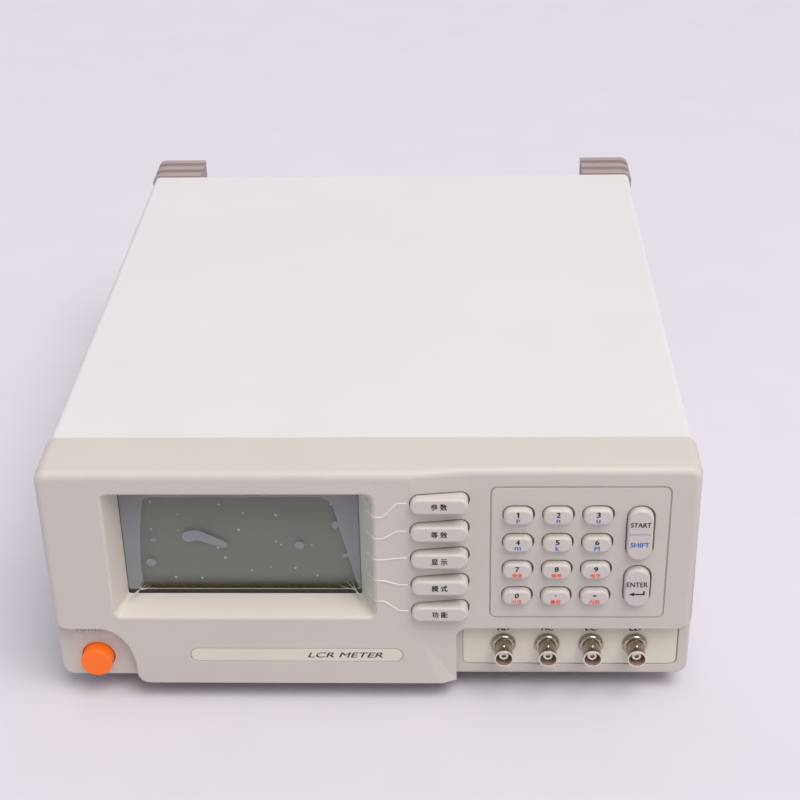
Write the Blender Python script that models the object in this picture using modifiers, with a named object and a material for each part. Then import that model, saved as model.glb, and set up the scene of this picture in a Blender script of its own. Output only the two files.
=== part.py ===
"""Bench LCR meter, built as an assembly of separate named pieces.

Units are metres, +Z is up and the front panel faces -Y. The origin lies on the surface that the
meter stands on, under the middle of the meter's box. Depths are given from the seam between the
plastic front bezel and the steel cover, and heights on the panel from the top of the case.
"""
import math

import bmesh
import bpy
from mathutils import Matrix, Vector

# Case
OVERALL_DEPTH = 0.450
CASE_WIDTH = 0.350
CASE_DEPTH = 0.374
CASE_HEIGHT = 0.140
FOOT_HEIGHT = 0.012
SHEET = 0.0012
GAP = 0.0003
COVER_CORNER = 0.004
BOARD_THICKNESS = 0.0016
POST_HEIGHT = 0.0104
PANEL_SETBACK = 0.0001

# Front bezel: a raised display and keypad layer over a base layer
BEZEL_WIDTH = 0.3544
LAYER_WIDTH = 0.353
WALL = 0.003
DISPLAY_DEPTH = 0.037
KEYPAD_DEPTH = 0.033
SWITCH_DEPTH = 0.0294
SOCKET_DEPTH = 0.027
SOCKET_REACH = 0.0145
EDGE_ROUND = 0.003
LAYER_STEP_X = 0.0472
LAYER_STEP_DROP = 0.1043
SWITCH_BAY_X = -0.133
SWITCH_BAY_DROP = 0.1023

# Display opening: outer edge on the panel, inner edge at the display, each as its left, right,
# top and bottom edges with the last two as drops from the top of the case
WINDOW_OUTER = (-0.1420, 0.0030, 0.0132, 0.0940)
WINDOW_INNER = (-0.1362, -0.0054, 0.0180, 0.0891)
WINDOW_DEPTH = 0.0205

# Keys
KEY_TRAVEL = 0.0012
KEY_CLEARANCE = 0.0006
KEY_FLANGE = 0.0012
KEY_FLANGE_THICKNESS = 0.0010
KEY_STEM = 0.0050
FUNCTION_KEY = (0.0310, 0.0098)
FUNCTION_KEY_X = 0.0380
FUNCTION_KEY_DROP = 0.0186
FUNCTION_KEY_RISE = 0.0080
NUMBER_KEY = (0.0160, 0.0098)
NUMBER_KEY_X = 0.0800
NUMBER_KEY_PITCH = 0.02115
NUMBER_KEY_DROP = 0.0281
NUMBER_KEY_RISE = 0.0036
KEY_ROW_PITCH = 0.01755
START_KEY = (0.0140, 0.0325)
START_KEY_DROP = 0.0395
ENTER_KEY = (0.0140, 0.0250)
ENTER_KEY_DROP = 0.0742
SIDE_KEY_X = 0.1450
NUMBER_KEY_NAMES = (
    ("key_1", "key_2", "key_3"),
    ("key_4", "key_5", "key_6"),
    ("key_7", "key_8", "key_9"),
    ("key_0", "key_point", "key_sign"),
)

# Power button
BUTTON_X = -0.1556
BUTTON_DROP = 0.1263
BUTTON_RADIUS = 0.00875
BUTTON_RISE = 0.0072
BUTTON_CLEARANCE = 0.0006

# Measuring sockets
SOCKET_X = 0.0734
SOCKET_PITCH = 0.0245
SOCKET_DROP = 0.1188
SOCKET_COUNT = 4
SOCKET_HOLE_RADIUS = 0.0052

# Derived places
BOTTOM = FOOT_HEIGHT
TOP = FOOT_HEIGHT + CASE_HEIGHT
SEAM = -OVERALL_DEPTH / 2 + SOCKET_DEPTH + SOCKET_REACH
DISPLAY_PLANE = SEAM - DISPLAY_DEPTH
KEYPAD_PLANE = SEAM - KEYPAD_DEPTH
SWITCH_PLANE = SEAM - SWITCH_DEPTH
SOCKET_PLANE = SEAM - SOCKET_DEPTH
KEYPAD_WALL_BACK = KEYPAD_PLANE + WALL
BASE_WALL_BACK = SOCKET_PLANE + WALL + 0.0005
REAR = SEAM + CASE_DEPTH
BUTTON_Z = TOP - BUTTON_DROP
SOCKET_Z = TOP - SOCKET_DROP

# Labels set in to the front, with edges in the same order as the display opening's
NAMEPLATE = (-0.1015, 0.0170, 0.1152, 0.1240)
NAMEPLATE_CORNER = 0.0043
TERMINAL_PLATE = (0.0508, 0.1704, 0.1053, 0.1330)
TERMINAL_PLATE_CORNER = 0.0035

# Feet
REAR_FOOT_SIZE = (0.0360, 0.0380)
REAR_FOOT_HALF_SPAN = 0.1775
REAR_FOOT_REACH = 0.0342
BASE_FOOT_X = 0.1400
BASE_FOOT_DEPTHS = ((0.0400, "front"), (0.3300, "rear"))

# The (x, z) centres of the connectors on the rear panel
CONNECTOR_Z = BOTTOM + 0.0330
INLET_PLACE = (0.1050, CONNECTOR_Z)
FUSE_PLACE = (0.0620, CONNECTOR_Z)
PORT_PLACE = (-0.0300, CONNECTOR_Z)
EARTH_PLACE = (-0.1150, CONNECTOR_Z)

# Colour, roughness and metallic value of each material
MATERIALS = {
    "bezel_plastic": ((0.56, 0.51, 0.47), 0.45, 0.0),
    "key_plastic": ((0.60, 0.57, 0.54), 0.42, 0.0),
    "button_plastic": ((1.0, 0.20, 0.03), 0.40, 0.0),
    "painted_steel": ((0.82, 0.81, 0.79), 0.50, 0.0),
    "zinc_steel": ((0.62, 0.63, 0.64), 0.35, 1.0),
    "nickel": ((0.62, 0.58, 0.52), 0.22, 1.0),
    "white_insulator": ((0.85, 0.84, 0.80), 0.40, 0.0),
    "label_film": ((0.66, 0.64, 0.54), 0.50, 0.0),
    "clear_plastic": ((0.80, 0.84, 0.82), 0.08, 0.0),
    "liquid_crystal": ((0.13, 0.14, 0.11), 0.25, 0.0),
    "foot_plastic": ((0.44, 0.38, 0.35), 0.60, 0.0),
    "rubber": ((0.05, 0.05, 0.05), 0.80, 0.0),
    "black_plastic": ((0.03, 0.03, 0.03), 0.40, 0.0),
    "circuit_board": ((0.03, 0.16, 0.07), 0.45, 0.0),
    "laminated_steel": ((0.20, 0.19, 0.18), 0.50, 0.8),
}


# ---------------------------------------------------------------------------------------------
# Scene and helpers
# ---------------------------------------------------------------------------------------------

def clear_scene():
    for old in list(bpy.data.objects):
        bpy.data.objects.remove(old, do_unlink=True)


def new_collection(name):
    collection = bpy.data.collections.new(name)
    bpy.context.scene.collection.children.link(collection)
    return collection


def make_material(name):
    colour, roughness, metallic = MATERIALS[name]
    material = bpy.data.materials.new(name)
    material.use_nodes = True
    shader = material.node_tree.nodes["Principled BSDF"]
    shader.inputs["Base Color"].default_value = (*colour, 1.0)
    shader.inputs["Roughness"].default_value = roughness
    shader.inputs["Metallic"].default_value = metallic
    material.diffuse_color = (*colour, 1.0)
    return material


def arc(centre_x, centre_z, radius_x, radius_z, start, end, steps):
    """Points on an ellipse's arc, from start to end in degrees, anticlockwise seen from the front."""
    points = []
    for step in range(steps + 1):
        angle = math.radians(start + (end - start) * step / steps)
        points.append((centre_x + radius_x * math.cos(angle), centre_z + radius_z * math.sin(angle)))
    return points


def rounded_box(left, right, low, high, radius, steps=3):
    """A rectangle's outline with round corners, as (x, z) points."""
    outline = arc(right - radius, high - radius, radius, radius, 0, 90, steps)
    outline += arc(left + radius, high - radius, radius, radius, 90, 180, steps)
    outline += arc(left + radius, low + radius, radius, radius, 180, 270, steps)
    outline += arc(right - radius, low + radius, radius, radius, 270, 360, steps)
    return outline


def key_outline(width, height, grow=0.0, steps=3):
    """A key's outline with its short ends fully round, grown outwards by grow."""
    half_x, half_z = width / 2 + grow, height / 2 + grow
    radius = min(half_x, half_z) * 0.96
    return rounded_box(-half_x, half_x, -half_z, half_z, radius, steps)


def shifted(outline, x, z):
    return [(px + x, pz + z) for px, pz in outline]


def tidy_body(bm):
    """Weld a closed body's loose seams and turn its faces outwards."""
    bmesh.ops.remove_doubles(bm, verts=bm.verts, dist=1e-6)
    bmesh.ops.recalc_face_normals(bm, faces=bm.faces)


def link(name, mesh, collection):
    piece = bpy.data.objects.new(name, mesh)
    collection.objects.link(piece)
    return piece


def from_bmesh(name, bm, collection):
    mesh = bpy.data.meshes.new(name)
    bm.to_mesh(mesh)
    bm.free()
    return link(name, mesh, collection)


def freeze(piece):
    """Apply a piece's modifiers and weld the result into one clean body."""
    bpy.context.view_layer.update()
    evaluated = piece.evaluated_get(bpy.context.evaluated_depsgraph_get())
    mesh = bpy.data.meshes.new_from_object(evaluated)
    bm = bmesh.new()
    bm.from_mesh(mesh)
    tidy_body(bm)
    bm.to_mesh(mesh)
    bm.free()
    if piece.type == "MESH":
        piece.modifiers.clear()
        piece.data = mesh
        return piece
    solid = link(piece.name, mesh, piece.users_collection[0])
    solid.matrix_world = piece.matrix_world
    name = piece.name
    bpy.data.objects.remove(piece, do_unlink=True)
    solid.name = name
    return solid


def slab(name, outline, front, back, collection=None):
    """A flat outline of (x, z) points, standing upright, from the front to the back depth."""
    curve = bpy.data.curves.new(name, "CURVE")
    curve.dimensions = "2D"
    curve.fill_mode = "BOTH"
    curve.extrude = (back - front) / 2
    spline = curve.splines.new("POLY")
    spline.points.add(len(outline) - 1)
    for point, (x, z) in zip(spline.points, outline):
        point.co = (x, z, 0.0, 1.0)
    spline.use_cyclic_u = True
    guide = link(name, curve, collection or PARTS)
    guide.rotation_euler = (math.pi / 2, 0.0, 0.0)
    guide.location = (0.0, (front + back) / 2, 0.0)
    return freeze(guide)


def loft(name, sections, collection=None):
    """A closed body through (depth, outline) sections that all have the same number of points."""
    bm = bmesh.new()
    rings = []
    for depth, outline in sections:
        rings.append([bm.verts.new((x, depth, z)) for x, z in outline])
    count = len(rings[0])
    for near, far in zip(rings, rings[1:]):
        for index in range(count):
            following = (index + 1) % count
            bm.faces.new((near[index], near[following], far[following], far[index]))
    bm.faces.new(rings[0])
    bm.faces.new(rings[-1])
    tidy_body(bm)
    return from_bmesh(name, bm, collection or PARTS)


def turned(name, profile, x, z, steps, collection=None):
    """A body of revolution about a front-to-back axis through (x, z), from (radius, depth) points."""
    bm = bmesh.new()
    points = [bm.verts.new((radius, 0.0, depth)) for radius, depth in profile]
    for first, second in zip(points, points[1:]):
        bm.edges.new((first, second))
    piece = from_bmesh(name, bm, collection or PARTS)
    screw = piece.modifiers.new("turn", "SCREW")
    screw.steps = screw.render_steps = steps
    screw.use_merge_vertices = True
    screw.merge_threshold = 1e-5
    piece = freeze(piece)
    piece.data.transform(Matrix.Rotation(-math.pi / 2, 4, "X"))
    piece.location = (x, 0.0, z)
    return piece


def box(name, low, high, collection=None):
    bm = bmesh.new()
    bmesh.ops.create_cube(bm, size=1.0)
    low, high = Vector(low), Vector(high)
    bmesh.ops.scale(bm, vec=high - low, verts=bm.verts)
    bmesh.ops.translate(bm, vec=(low + high) / 2, verts=bm.verts)
    return from_bmesh(name, bm, collection or PARTS)


def cylinder(name, centre, radius, length, axis, sides, collection=None):
    bm = bmesh.new()
    bmesh.ops.create_cone(bm, cap_ends=True, segments=sides, radius1=radius, radius2=radius, depth=length)
    if axis == "Y":
        bmesh.ops.rotate(bm, matrix=Matrix.Rotation(math.pi / 2, 3, "X"), verts=bm.verts)
    bmesh.ops.translate(bm, vec=centre, verts=bm.verts)
    return from_bmesh(name, bm, collection or PARTS)


def merged(name, pieces):
    """Join separate cutters that don't touch each other into one cutter."""
    bm = bmesh.new()
    bpy.context.view_layer.update()
    for piece in pieces:
        copy = piece.data.copy()
        copy.transform(piece.matrix_world)
        bm.from_mesh(copy)
        bpy.data.meshes.remove(copy)
        bpy.data.objects.remove(piece, do_unlink=True)
    return from_bmesh(name, bm, TOOLS)


def combine(piece, other, operation):
    """Cut or join with a Boolean, keeping the other object as a hidden tool."""
    other.hide_render = True
    other.display_type = "WIRE"
    modifier = piece.modifiers.new(other.name, "BOOLEAN")
    modifier.operation = operation
    modifier.solver = "EXACT"
    modifier.object = other


def cut(piece, *others):
    for other in others:
        combine(piece, other, "DIFFERENCE")


def join(piece, *others):
    for other in others:
        combine(piece, other, "UNION")


def finish(piece, material, smooth_angle=30):
    """Give a piece its material and smooth its round faces."""
    if not piece.data.materials:
        piece.data.materials.append(SURFACES[material])
    piece.data.shade_smooth()
    piece.data.set_sharp_from_angle(angle=math.radians(smooth_angle))
    piece.parent = ROOT
    return piece


# ---------------------------------------------------------------------------------------------
# Front bezel
# ---------------------------------------------------------------------------------------------

def layer_outline():
    """The raised layer: it leaves a bay at the power button and a strip at the sockets."""
    half = LAYER_WIDTH / 2
    strip = TOP - LAYER_STEP_DROP
    bay = TOP - SWITCH_BAY_DROP
    corner, lip, inner, toe = 0.0045, 0.0060, 0.0055, 0.0070
    bay_width, bay_height = 0.0190, 0.0277
    outline = arc(-half + corner, TOP - corner, corner, corner, 180, 90, 3)
    outline += arc(half - corner, TOP - corner, corner, corner, 90, 0, 3)
    outline += arc(half - lip, strip + lip, lip, lip, 0, -90, 4)
    outline += arc(LAYER_STEP_X + inner, strip - inner, inner, inner, 90, 180, 4)
    outline += [(LAYER_STEP_X, BOTTOM)]
    outline += arc(SWITCH_BAY_X + toe, BOTTOM + toe, toe, toe, 270, 180, 4)
    outline += arc(SWITCH_BAY_X - bay_width, bay - bay_height, bay_width, bay_height, 0, 90, 7)
    outline += arc(-half + lip, bay + lip, lip, lip, 270, 180, 4)
    return outline


def trim(bm, point, normal):
    """Cut a convex body with a plane, drop what the normal points at and close the cut."""
    geometry = bm.verts[:] + bm.edges[:] + bm.faces[:]
    bmesh.ops.bisect_plane(bm, geom=geometry, plane_co=point, plane_no=normal, clear_outer=True)
    bmesh.ops.holes_fill(bm, edges=[edge for edge in bm.edges if edge.is_boundary])


def facet_cutter():
    """What the raised layer loses where it slopes back from the display to the keypad."""
    slope_start, slope_end = 0.0230, 0.0543
    fall = KEYPAD_PLANE - DISPLAY_PLANE
    flank_top = Vector((0.0237, DISPLAY_PLANE, TOP - 0.1013))
    flank_bottom = Vector((0.0384, DISPLAY_PLANE, BOTTOM + 0.0020))
    flank_steepness = 0.43
    along = (flank_bottom - flank_top).normalized()
    across = Vector((-along.z, flank_steepness, along.x))
    cutter = box("tool_facet", (-0.05, DISPLAY_PLANE - 0.01, 0.0), (0.20, KEYPAD_PLANE, 0.17), TOOLS)
    bm = bmesh.new()
    bm.from_mesh(cutter.data)
    trim(bm, (slope_start, DISPLAY_PLANE, 0.0), Vector((-fall, slope_end - slope_start, 0.0)))
    trim(bm, flank_top, across.cross(along))
    tidy_body(bm)
    bm.to_mesh(cutter.data)
    bm.free()
    return cutter


def round_front_edges(piece, width):
    """Round the edges between the front faces and the faces that run back from them."""
    bm = bmesh.new()
    bm.from_mesh(piece.data)
    bmesh.ops.dissolve_limit(bm, angle_limit=math.radians(0.5), verts=bm.verts, edges=bm.edges)
    rim = []
    for edge in bm.edges:
        if len(edge.link_faces) != 2:
            continue
        facing = sorted(face.normal.y for face in edge.link_faces)
        if facing[0] < -0.85 and abs(facing[1]) < 0.3:
            rim.append(edge)
    bmesh.ops.bevel(bm, geom=rim, offset=width, segments=3, profile=0.5, affect="EDGES")
    tidy_body(bm)
    bm.to_mesh(piece.data)
    bm.free()


def raised_layer():
    layer = slab("tool_raised_layer", layer_outline(), DISPLAY_PLANE, SOCKET_PLANE + 0.0005, TOOLS)
    cut(layer, facet_cutter())
    layer = freeze(layer)
    round_front_edges(layer, EDGE_ROUND)
    return layer


def bezel_cavities():
    """The hollows behind the base layer and behind both halves of the raised layer."""
    overlap = 0.001
    half = BEZEL_WIDTH / 2 - WALL
    base = slab("tool_base_cavity", rounded_box(-half, half, BOTTOM + WALL, TOP - WALL, 0.002, 2),
                BASE_WALL_BACK, SEAM + overlap, TOOLS)
    roof, floor, sill = TOP - 0.0035, BOTTOM + 0.004, TOP - 0.099
    side = LAYER_WIDTH / 2 - 0.0045
    middle, bay_side, strip_side = 0.0195, -0.1280, 0.0440
    left = [(middle, roof), (-side, roof), (-side, sill), (bay_side, sill), (bay_side, floor),
            (middle, floor)]
    start = middle - overlap
    right = [(side, roof), (start, roof), (start, floor), (strip_side, floor), (strip_side, sill),
             (side, sill)]
    back = BASE_WALL_BACK + overlap
    return [
        base,
        slab("tool_display_cavity", left, DISPLAY_PLANE + WALL, back, TOOLS),
        slab("tool_keypad_cavity", right, KEYPAD_WALL_BACK, back, TOOLS),
    ]


def inset_outline(edges, grow, radius, steps=3):
    """The outline of an opening or a label on the front, grown outwards by grow."""
    left, right, top_drop, bottom_drop = edges
    low, high = TOP - bottom_drop - grow, TOP - top_drop + grow
    return rounded_box(left - grow, right + grow, low, high, radius, steps)


def window_funnel():
    """The solid and the opening of the sloped walls that lead in to the display."""
    rear = SEAM - WINDOW_DEPTH
    solid = loft("tool_window_walls", [
        (DISPLAY_PLANE + 0.002, inset_outline(WINDOW_OUTER, WALL, 0.004)),
        (rear, inset_outline(WINDOW_INNER, WALL, 0.002)),
    ], TOOLS)
    slope = [(WINDOW_OUTER[i] - WINDOW_INNER[i]) / (WINDOW_DEPTH - DISPLAY_DEPTH) for i in range(4)]
    beyond = 0.001
    front = [WINDOW_OUTER[i] - slope[i] * beyond for i in range(4)]
    back = [WINDOW_INNER[i] + slope[i] * beyond for i in range(4)]
    opening = loft("tool_window_opening", [
        (DISPLAY_PLANE - beyond, inset_outline(front, 0.0, 0.004)),
        (rear + beyond, inset_outline(back, 0.0, 0.001)),
    ], TOOLS)
    return solid, opening


def key_places():
    """Every key's name, size, rise above the keypad plane and (x, z) centre."""
    places = []
    for row in range(5):
        z = TOP - FUNCTION_KEY_DROP - row * KEY_ROW_PITCH
        places.append((f"function_key_{row + 1}", FUNCTION_KEY, FUNCTION_KEY_RISE, FUNCTION_KEY_X, z))
    for row, names in enumerate(NUMBER_KEY_NAMES):
        for column, name in enumerate(names):
            x = NUMBER_KEY_X + column * NUMBER_KEY_PITCH
            z = TOP - NUMBER_KEY_DROP - row * KEY_ROW_PITCH
            places.append((name, NUMBER_KEY, NUMBER_KEY_RISE, x, z))
    places.append(("start_shift_key", START_KEY, NUMBER_KEY_RISE, SIDE_KEY_X, TOP - START_KEY_DROP))
    places.append(("enter_key", ENTER_KEY, NUMBER_KEY_RISE, SIDE_KEY_X, TOP - ENTER_KEY_DROP))
    return places


def socket_places():
    return [SOCKET_X + index * SOCKET_PITCH for index in range(SOCKET_COUNT)]


def panel_holes():
    """One cutter for the key holes, the socket holes and the power button's hole."""
    tools = []
    for name, (width, height), _, x, z in key_places():
        outline = shifted(key_outline(width, height, KEY_CLEARANCE), x, z)
        tools.append(slab(f"tool_{name}", outline, DISPLAY_PLANE - 0.005, KEYPAD_WALL_BACK + 0.002, TOOLS))
    middle = (SOCKET_PLANE + BASE_WALL_BACK) / 2
    for x in socket_places():
        centre = (x, middle, SOCKET_Z)
        tools.append(cylinder("tool_socket_hole", centre, SOCKET_HOLE_RADIUS, 0.008, "Y", 16, TOOLS))
    button_hole = BUTTON_RADIUS + BUTTON_CLEARANCE
    centre = (BUTTON_X, middle, BUTTON_Z)
    tools.append(cylinder("tool_button_hole", centre, button_hole, 0.020, "Y", 24, TOOLS))
    return merged("tool_panel_holes", tools)


def nameplate_outline(grow):
    return inset_outline(NAMEPLATE, grow, NAMEPLATE_CORNER + grow, 4)


def terminal_plate_outline(grow):
    return inset_outline(TERMINAL_PLATE, grow, TERMINAL_PLATE_CORNER, 2)


def front_bezel():
    half = BEZEL_WIDTH / 2
    bezel = slab("front_bezel", rounded_box(-half, half, BOTTOM, TOP, 0.005), SWITCH_PLANE, SEAM - GAP / 2)
    bay_side = box("tool_socket_strip", (-0.120, SWITCH_PLANE - 0.01, 0.0), (0.2, SOCKET_PLANE, 0.2), TOOLS)
    walls, opening = window_funnel()
    nameplate_recess = slab("tool_nameplate_recess", nameplate_outline(GAP), DISPLAY_PLANE - 0.001,
                            DISPLAY_PLANE + 0.0008, TOOLS)
    plate_recess = slab("tool_plate_recess", terminal_plate_outline(GAP), SOCKET_PLANE - 0.0004,
                        SOCKET_PLANE + 0.0010, TOOLS)
    cut(bezel, bay_side)
    join(bezel, raised_layer())
    cut(bezel, *bezel_cavities())
    join(bezel, walls)
    cut(bezel, opening, panel_holes(), nameplate_recess, plate_recess)
    return finish(freeze(bezel), "bezel_plastic")


# ---------------------------------------------------------------------------------------------
# Display, labels and keys
# ---------------------------------------------------------------------------------------------

def display_stack():
    """Protective film, clear window and display module, one behind the other."""
    left, right, top_drop, bottom_drop = WINDOW_INNER
    front = SEAM - WINDOW_DEPTH
    film_inset = 0.0005
    film = box("protective_film", (left + film_inset, front - 0.0002, TOP - bottom_drop + film_inset),
               (right - film_inset, front, TOP - top_drop - film_inset))
    finish(film, "clear_plastic")
    lap = 0.0030
    window = box("display_window", (left - lap, front + GAP, TOP - bottom_drop - lap),
                 (right + lap, front + GAP + 0.0015, TOP - top_drop + lap))
    finish(window, "clear_plastic")
    behind = front + 0.0015 + 2 * GAP
    module = box("lcd_module", (left - lap, behind, TOP - bottom_drop - lap),
                 (right + lap, behind + 0.0090, TOP - top_drop + lap))
    finish(module, "liquid_crystal")


def nameplate():
    plate = slab("nameplate", nameplate_outline(0.0), DISPLAY_PLANE + 0.0001, DISPLAY_PLANE + 0.0005)
    finish(plate, "label_film")


def terminal_plate():
    front = SOCKET_PLANE + 0.0002
    plate = slab("terminal_plate", terminal_plate_outline(0.0), front, front + 0.0005)
    holes = []
    for x in socket_places():
        centre = (x, SOCKET_PLANE, SOCKET_Z)
        holes.append(cylinder("tool_plate_hole", centre, SOCKET_HOLE_RADIUS, 0.006, "Y", 16, TOOLS))
    cut(plate, merged("tool_plate_holes", holes))
    finish(freeze(plate), "label_film")


def key_mesh(name, size, rise):
    """A key cap with its retaining flange behind the panel and its stem to the key board."""
    width, height = size
    flange_front = KEYPAD_WALL_BACK + GAP - KEYPAD_PLANE
    flange_back = flange_front + KEY_FLANGE_THICKNESS
    stem_back = flange_back + KEY_STEM
    cap = key_outline(width, height)
    flange = key_outline(width, height, KEY_FLANGE)
    stem = key_outline(width, height, -0.0030)
    sections = [
        (stem_back, stem), (flange_back, stem), (flange_back, flange), (flange_front, flange),
        (flange_front, cap), (0.0010 - rise, cap), (-rise, key_outline(width, height, -0.0010)),
    ]
    piece = loft(name, sections)
    mesh = piece.data
    bpy.data.objects.remove(piece, do_unlink=True)
    return mesh


def keys():
    meshes = {}
    for name, size, rise, x, z in key_places():
        if (size, rise) not in meshes:
            meshes[(size, rise)] = key_mesh(name, size, rise)
        key = link(name, meshes[(size, rise)], PARTS)
        key.location = (x, KEYPAD_PLANE, z)
        finish(key, "key_plastic")


def key_board():
    clearance = 0.0004
    front = KEYPAD_WALL_BACK + GAP + KEY_FLANGE_THICKNESS + KEY_STEM + KEY_TRAVEL + clearance
    low, high = (0.0160, front, TOP - 0.0980), (0.1680, front + BOARD_THICKNESS, TOP - 0.0080)
    board = box("key_board", low, high)
    finish(board, "circuit_board")


# ---------------------------------------------------------------------------------------------
# Power button and measuring sockets
# ---------------------------------------------------------------------------------------------

def power_button():
    face = SWITCH_PLANE - BUTTON_RISE
    flange = BASE_WALL_BACK + GAP
    flange_back, flange_radius = flange + 0.0012, BUTTON_RADIUS + 0.0016
    stem_radius, stem_back = 0.0035, SEAM + 0.0060
    profile = [
        (0.0, face), (BUTTON_RADIUS - 0.0012, face), (BUTTON_RADIUS - 0.0004, face + 0.0004),
        (BUTTON_RADIUS, face + 0.0012), (BUTTON_RADIUS, flange), (flange_radius, flange),
        (flange_radius, flange_back), (stem_radius, flange_back), (stem_radius, stem_back),
        (0.0, stem_back),
    ]
    local = [(radius, depth - SWITCH_PLANE) for radius, depth in profile]
    button = turned("power_button", local, BUTTON_X, BUTTON_Z, 20)
    button.location.y = SWITCH_PLANE
    finish(button, "button_plastic")


def power_switch():
    half = 0.0090
    front = SEAM + 0.0025
    depth, guide_radius, guide_depth = 0.0300, 0.0041, 0.0120
    switch = box("power_switch", (BUTTON_X - half, front, BUTTON_Z - half),
                 (BUTTON_X + half, front + depth, BUTTON_Z + half))
    centre = (BUTTON_X, front, BUTTON_Z)
    guide = cylinder("tool_switch_guide", centre, guide_radius, 2 * guide_depth, "Y", 16, TOOLS)
    cut(switch, guide)
    finish(freeze(switch), "black_plastic")


def sockets():
    """Four bayonet sockets, each a nickel shell, a white insulator and a rear nut."""
    mouth = SOCKET_PLANE - SOCKET_REACH
    flange_back = SOCKET_PLANE - 0.0001
    flange_front = flange_back - 0.0020
    bore_end = flange_front - 0.0004
    outer, bore, flange, thread = 0.00483, 0.0041, 0.0070, 0.0047
    thread_end, pin, pin_end = SEAM - 0.0140, 0.0010, SEAM - 0.0110
    shell = [
        (0.0, bore_end), (bore, bore_end), (bore, mouth), (outer, mouth), (outer, flange_front),
        (flange, flange_front), (flange, flange_back), (thread, flange_back), (thread, thread_end),
        (pin, thread_end), (pin, pin_end), (0.0, pin_end),
    ]
    seat, collar, nose, socket = bore_end - GAP, 0.0038, 0.0024, 0.0009
    collar_front, nose_front, socket_end = bore_end - 0.0022, mouth + 0.0050, mouth + 0.0060
    insulator = [
        (0.0, seat), (collar, seat), (collar, collar_front), (nose, collar_front),
        (nose, nose_front), (socket, nose_front), (socket, socket_end), (0.0, socket_end),
    ]
    nut_front, nut_thickness = BASE_WALL_BACK + GAP, 0.0025
    for index, x in enumerate(socket_places(), start=1):
        body = turned(f"bnc_socket_{index}", shell, x, SOCKET_Z, 16)
        lugs = []
        for side in (-1, 1):
            centre = (x, mouth + 0.0048, SOCKET_Z + side * 0.0050)
            lugs.append(cylinder("tool_lug", centre, 0.0010, 0.0015, "Z", 8, TOOLS))
        join(body, merged(f"tool_lugs_{index}", lugs))
        finish(freeze(body), "nickel")
        finish(turned(f"bnc_insulator_{index}", insulator, x, SOCKET_Z, 12), "white_insulator")
        centre = (x, nut_front + nut_thickness / 2, SOCKET_Z)
        nut = cylinder(f"bnc_nut_{index}", centre, 0.0080, nut_thickness, "Y", 6)
        cut(nut, cylinder(f"tool_nut_bore_{index}", centre, thread + 0.0004, 0.01, "Y", 16, TOOLS))
        finish(freeze(nut), "nickel")


# ---------------------------------------------------------------------------------------------
# Case
# ---------------------------------------------------------------------------------------------

def sheet_channel(name, path, front, back, thickness):
    """A folded sheet: an open path of (x, z) points run from front to back, then thickened."""
    bm = bmesh.new()
    near = [bm.verts.new((x, front, z)) for x, z in path]
    far = [bm.verts.new((x, back, z)) for x, z in path]
    for index in range(len(path) - 1):
        bm.faces.new((near[index], near[index + 1], far[index + 1], far[index]))
    bmesh.ops.recalc_face_normals(bm, faces=bm.faces)
    sheet = from_bmesh(name, bm, PARTS)
    solidify = sheet.modifiers.new("thickness", "SOLIDIFY")
    solidify.thickness = thickness
    solidify.offset = -1.0
    solidify.use_even_offset = True
    return sheet


def top_cover():
    half, corner, edge = CASE_WIDTH / 2, COVER_CORNER, BOTTOM + 0.0004
    path = [(-half, edge)]
    path += arc(-half + corner, TOP - corner, corner, corner, 180, 90, 5)
    path += arc(half - corner, TOP - corner, corner, corner, 90, 0, 5)
    path += [(half, edge)]
    cover = sheet_channel("top_cover", path, SEAM + GAP / 2, REAR, SHEET)
    finish(freeze(cover), "painted_steel")


def chassis_pan():
    half, corner, flange = CASE_WIDTH / 2 - SHEET - GAP, 0.0020, 0.0250
    path = [(half, BOTTOM + flange)]
    path += arc(half - corner, BOTTOM + corner, corner, corner, 0, -90, 2)
    path += arc(-half + corner, BOTTOM + corner, corner, corner, -90, -180, 2)
    path += [(-half, BOTTOM + flange)]
    back = REAR - PANEL_SETBACK - SHEET - 0.0004
    pan = freeze(sheet_channel("chassis_pan", path, SEAM + GAP, back, SHEET))
    floor, sunk = BOTTOM + SHEET, 0.0004
    posts = []
    for x in (-0.1450, 0.1450):
        for depth in (0.0450, 0.2500):
            centre = (x, SEAM + depth, floor + (POST_HEIGHT - sunk) / 2)
            posts.append(cylinder("tool_post", centre, 0.0040, POST_HEIGHT + sunk, "Z", 10, TOOLS))
    join(pan, merged("tool_board_posts", posts))
    finish(freeze(pan), "zinc_steel")


def panel_plate(name, half, low, high, front):
    return slab(name, rounded_box(-half, half, low, high, 0.0030, 2), front, front + SHEET)


def panel_opening(name, place, half_width, half_height, front):
    """A cutter for a rectangular opening round (x, z) in a sheet that starts at the front depth."""
    x, z = place
    reach = 0.005
    low = (x - half_width, front - reach, z - half_height)
    return box(name, low, (x + half_width, front + reach, z + half_height), TOOLS)


def front_subpanel():
    half = CASE_WIDTH / 2 - 2 * SHEET - 2 * GAP - 0.0001
    margin, front = SHEET + 0.0004, SEAM + 0.0009
    plate = panel_plate("front_subpanel", half, BOTTOM + margin, TOP - margin, front)
    cable_place = (0.0950, BOTTOM + 0.0275)
    openings = [
        panel_opening("tool_switch_opening", (BUTTON_X, BUTTON_Z), 0.0070, 0.0070, front),
        panel_opening("tool_cable_opening", cable_place, 0.0650, 0.0125, front),
    ]
    cut(plate, merged("tool_subpanel_openings", openings))
    finish(freeze(plate), "zinc_steel")


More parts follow.
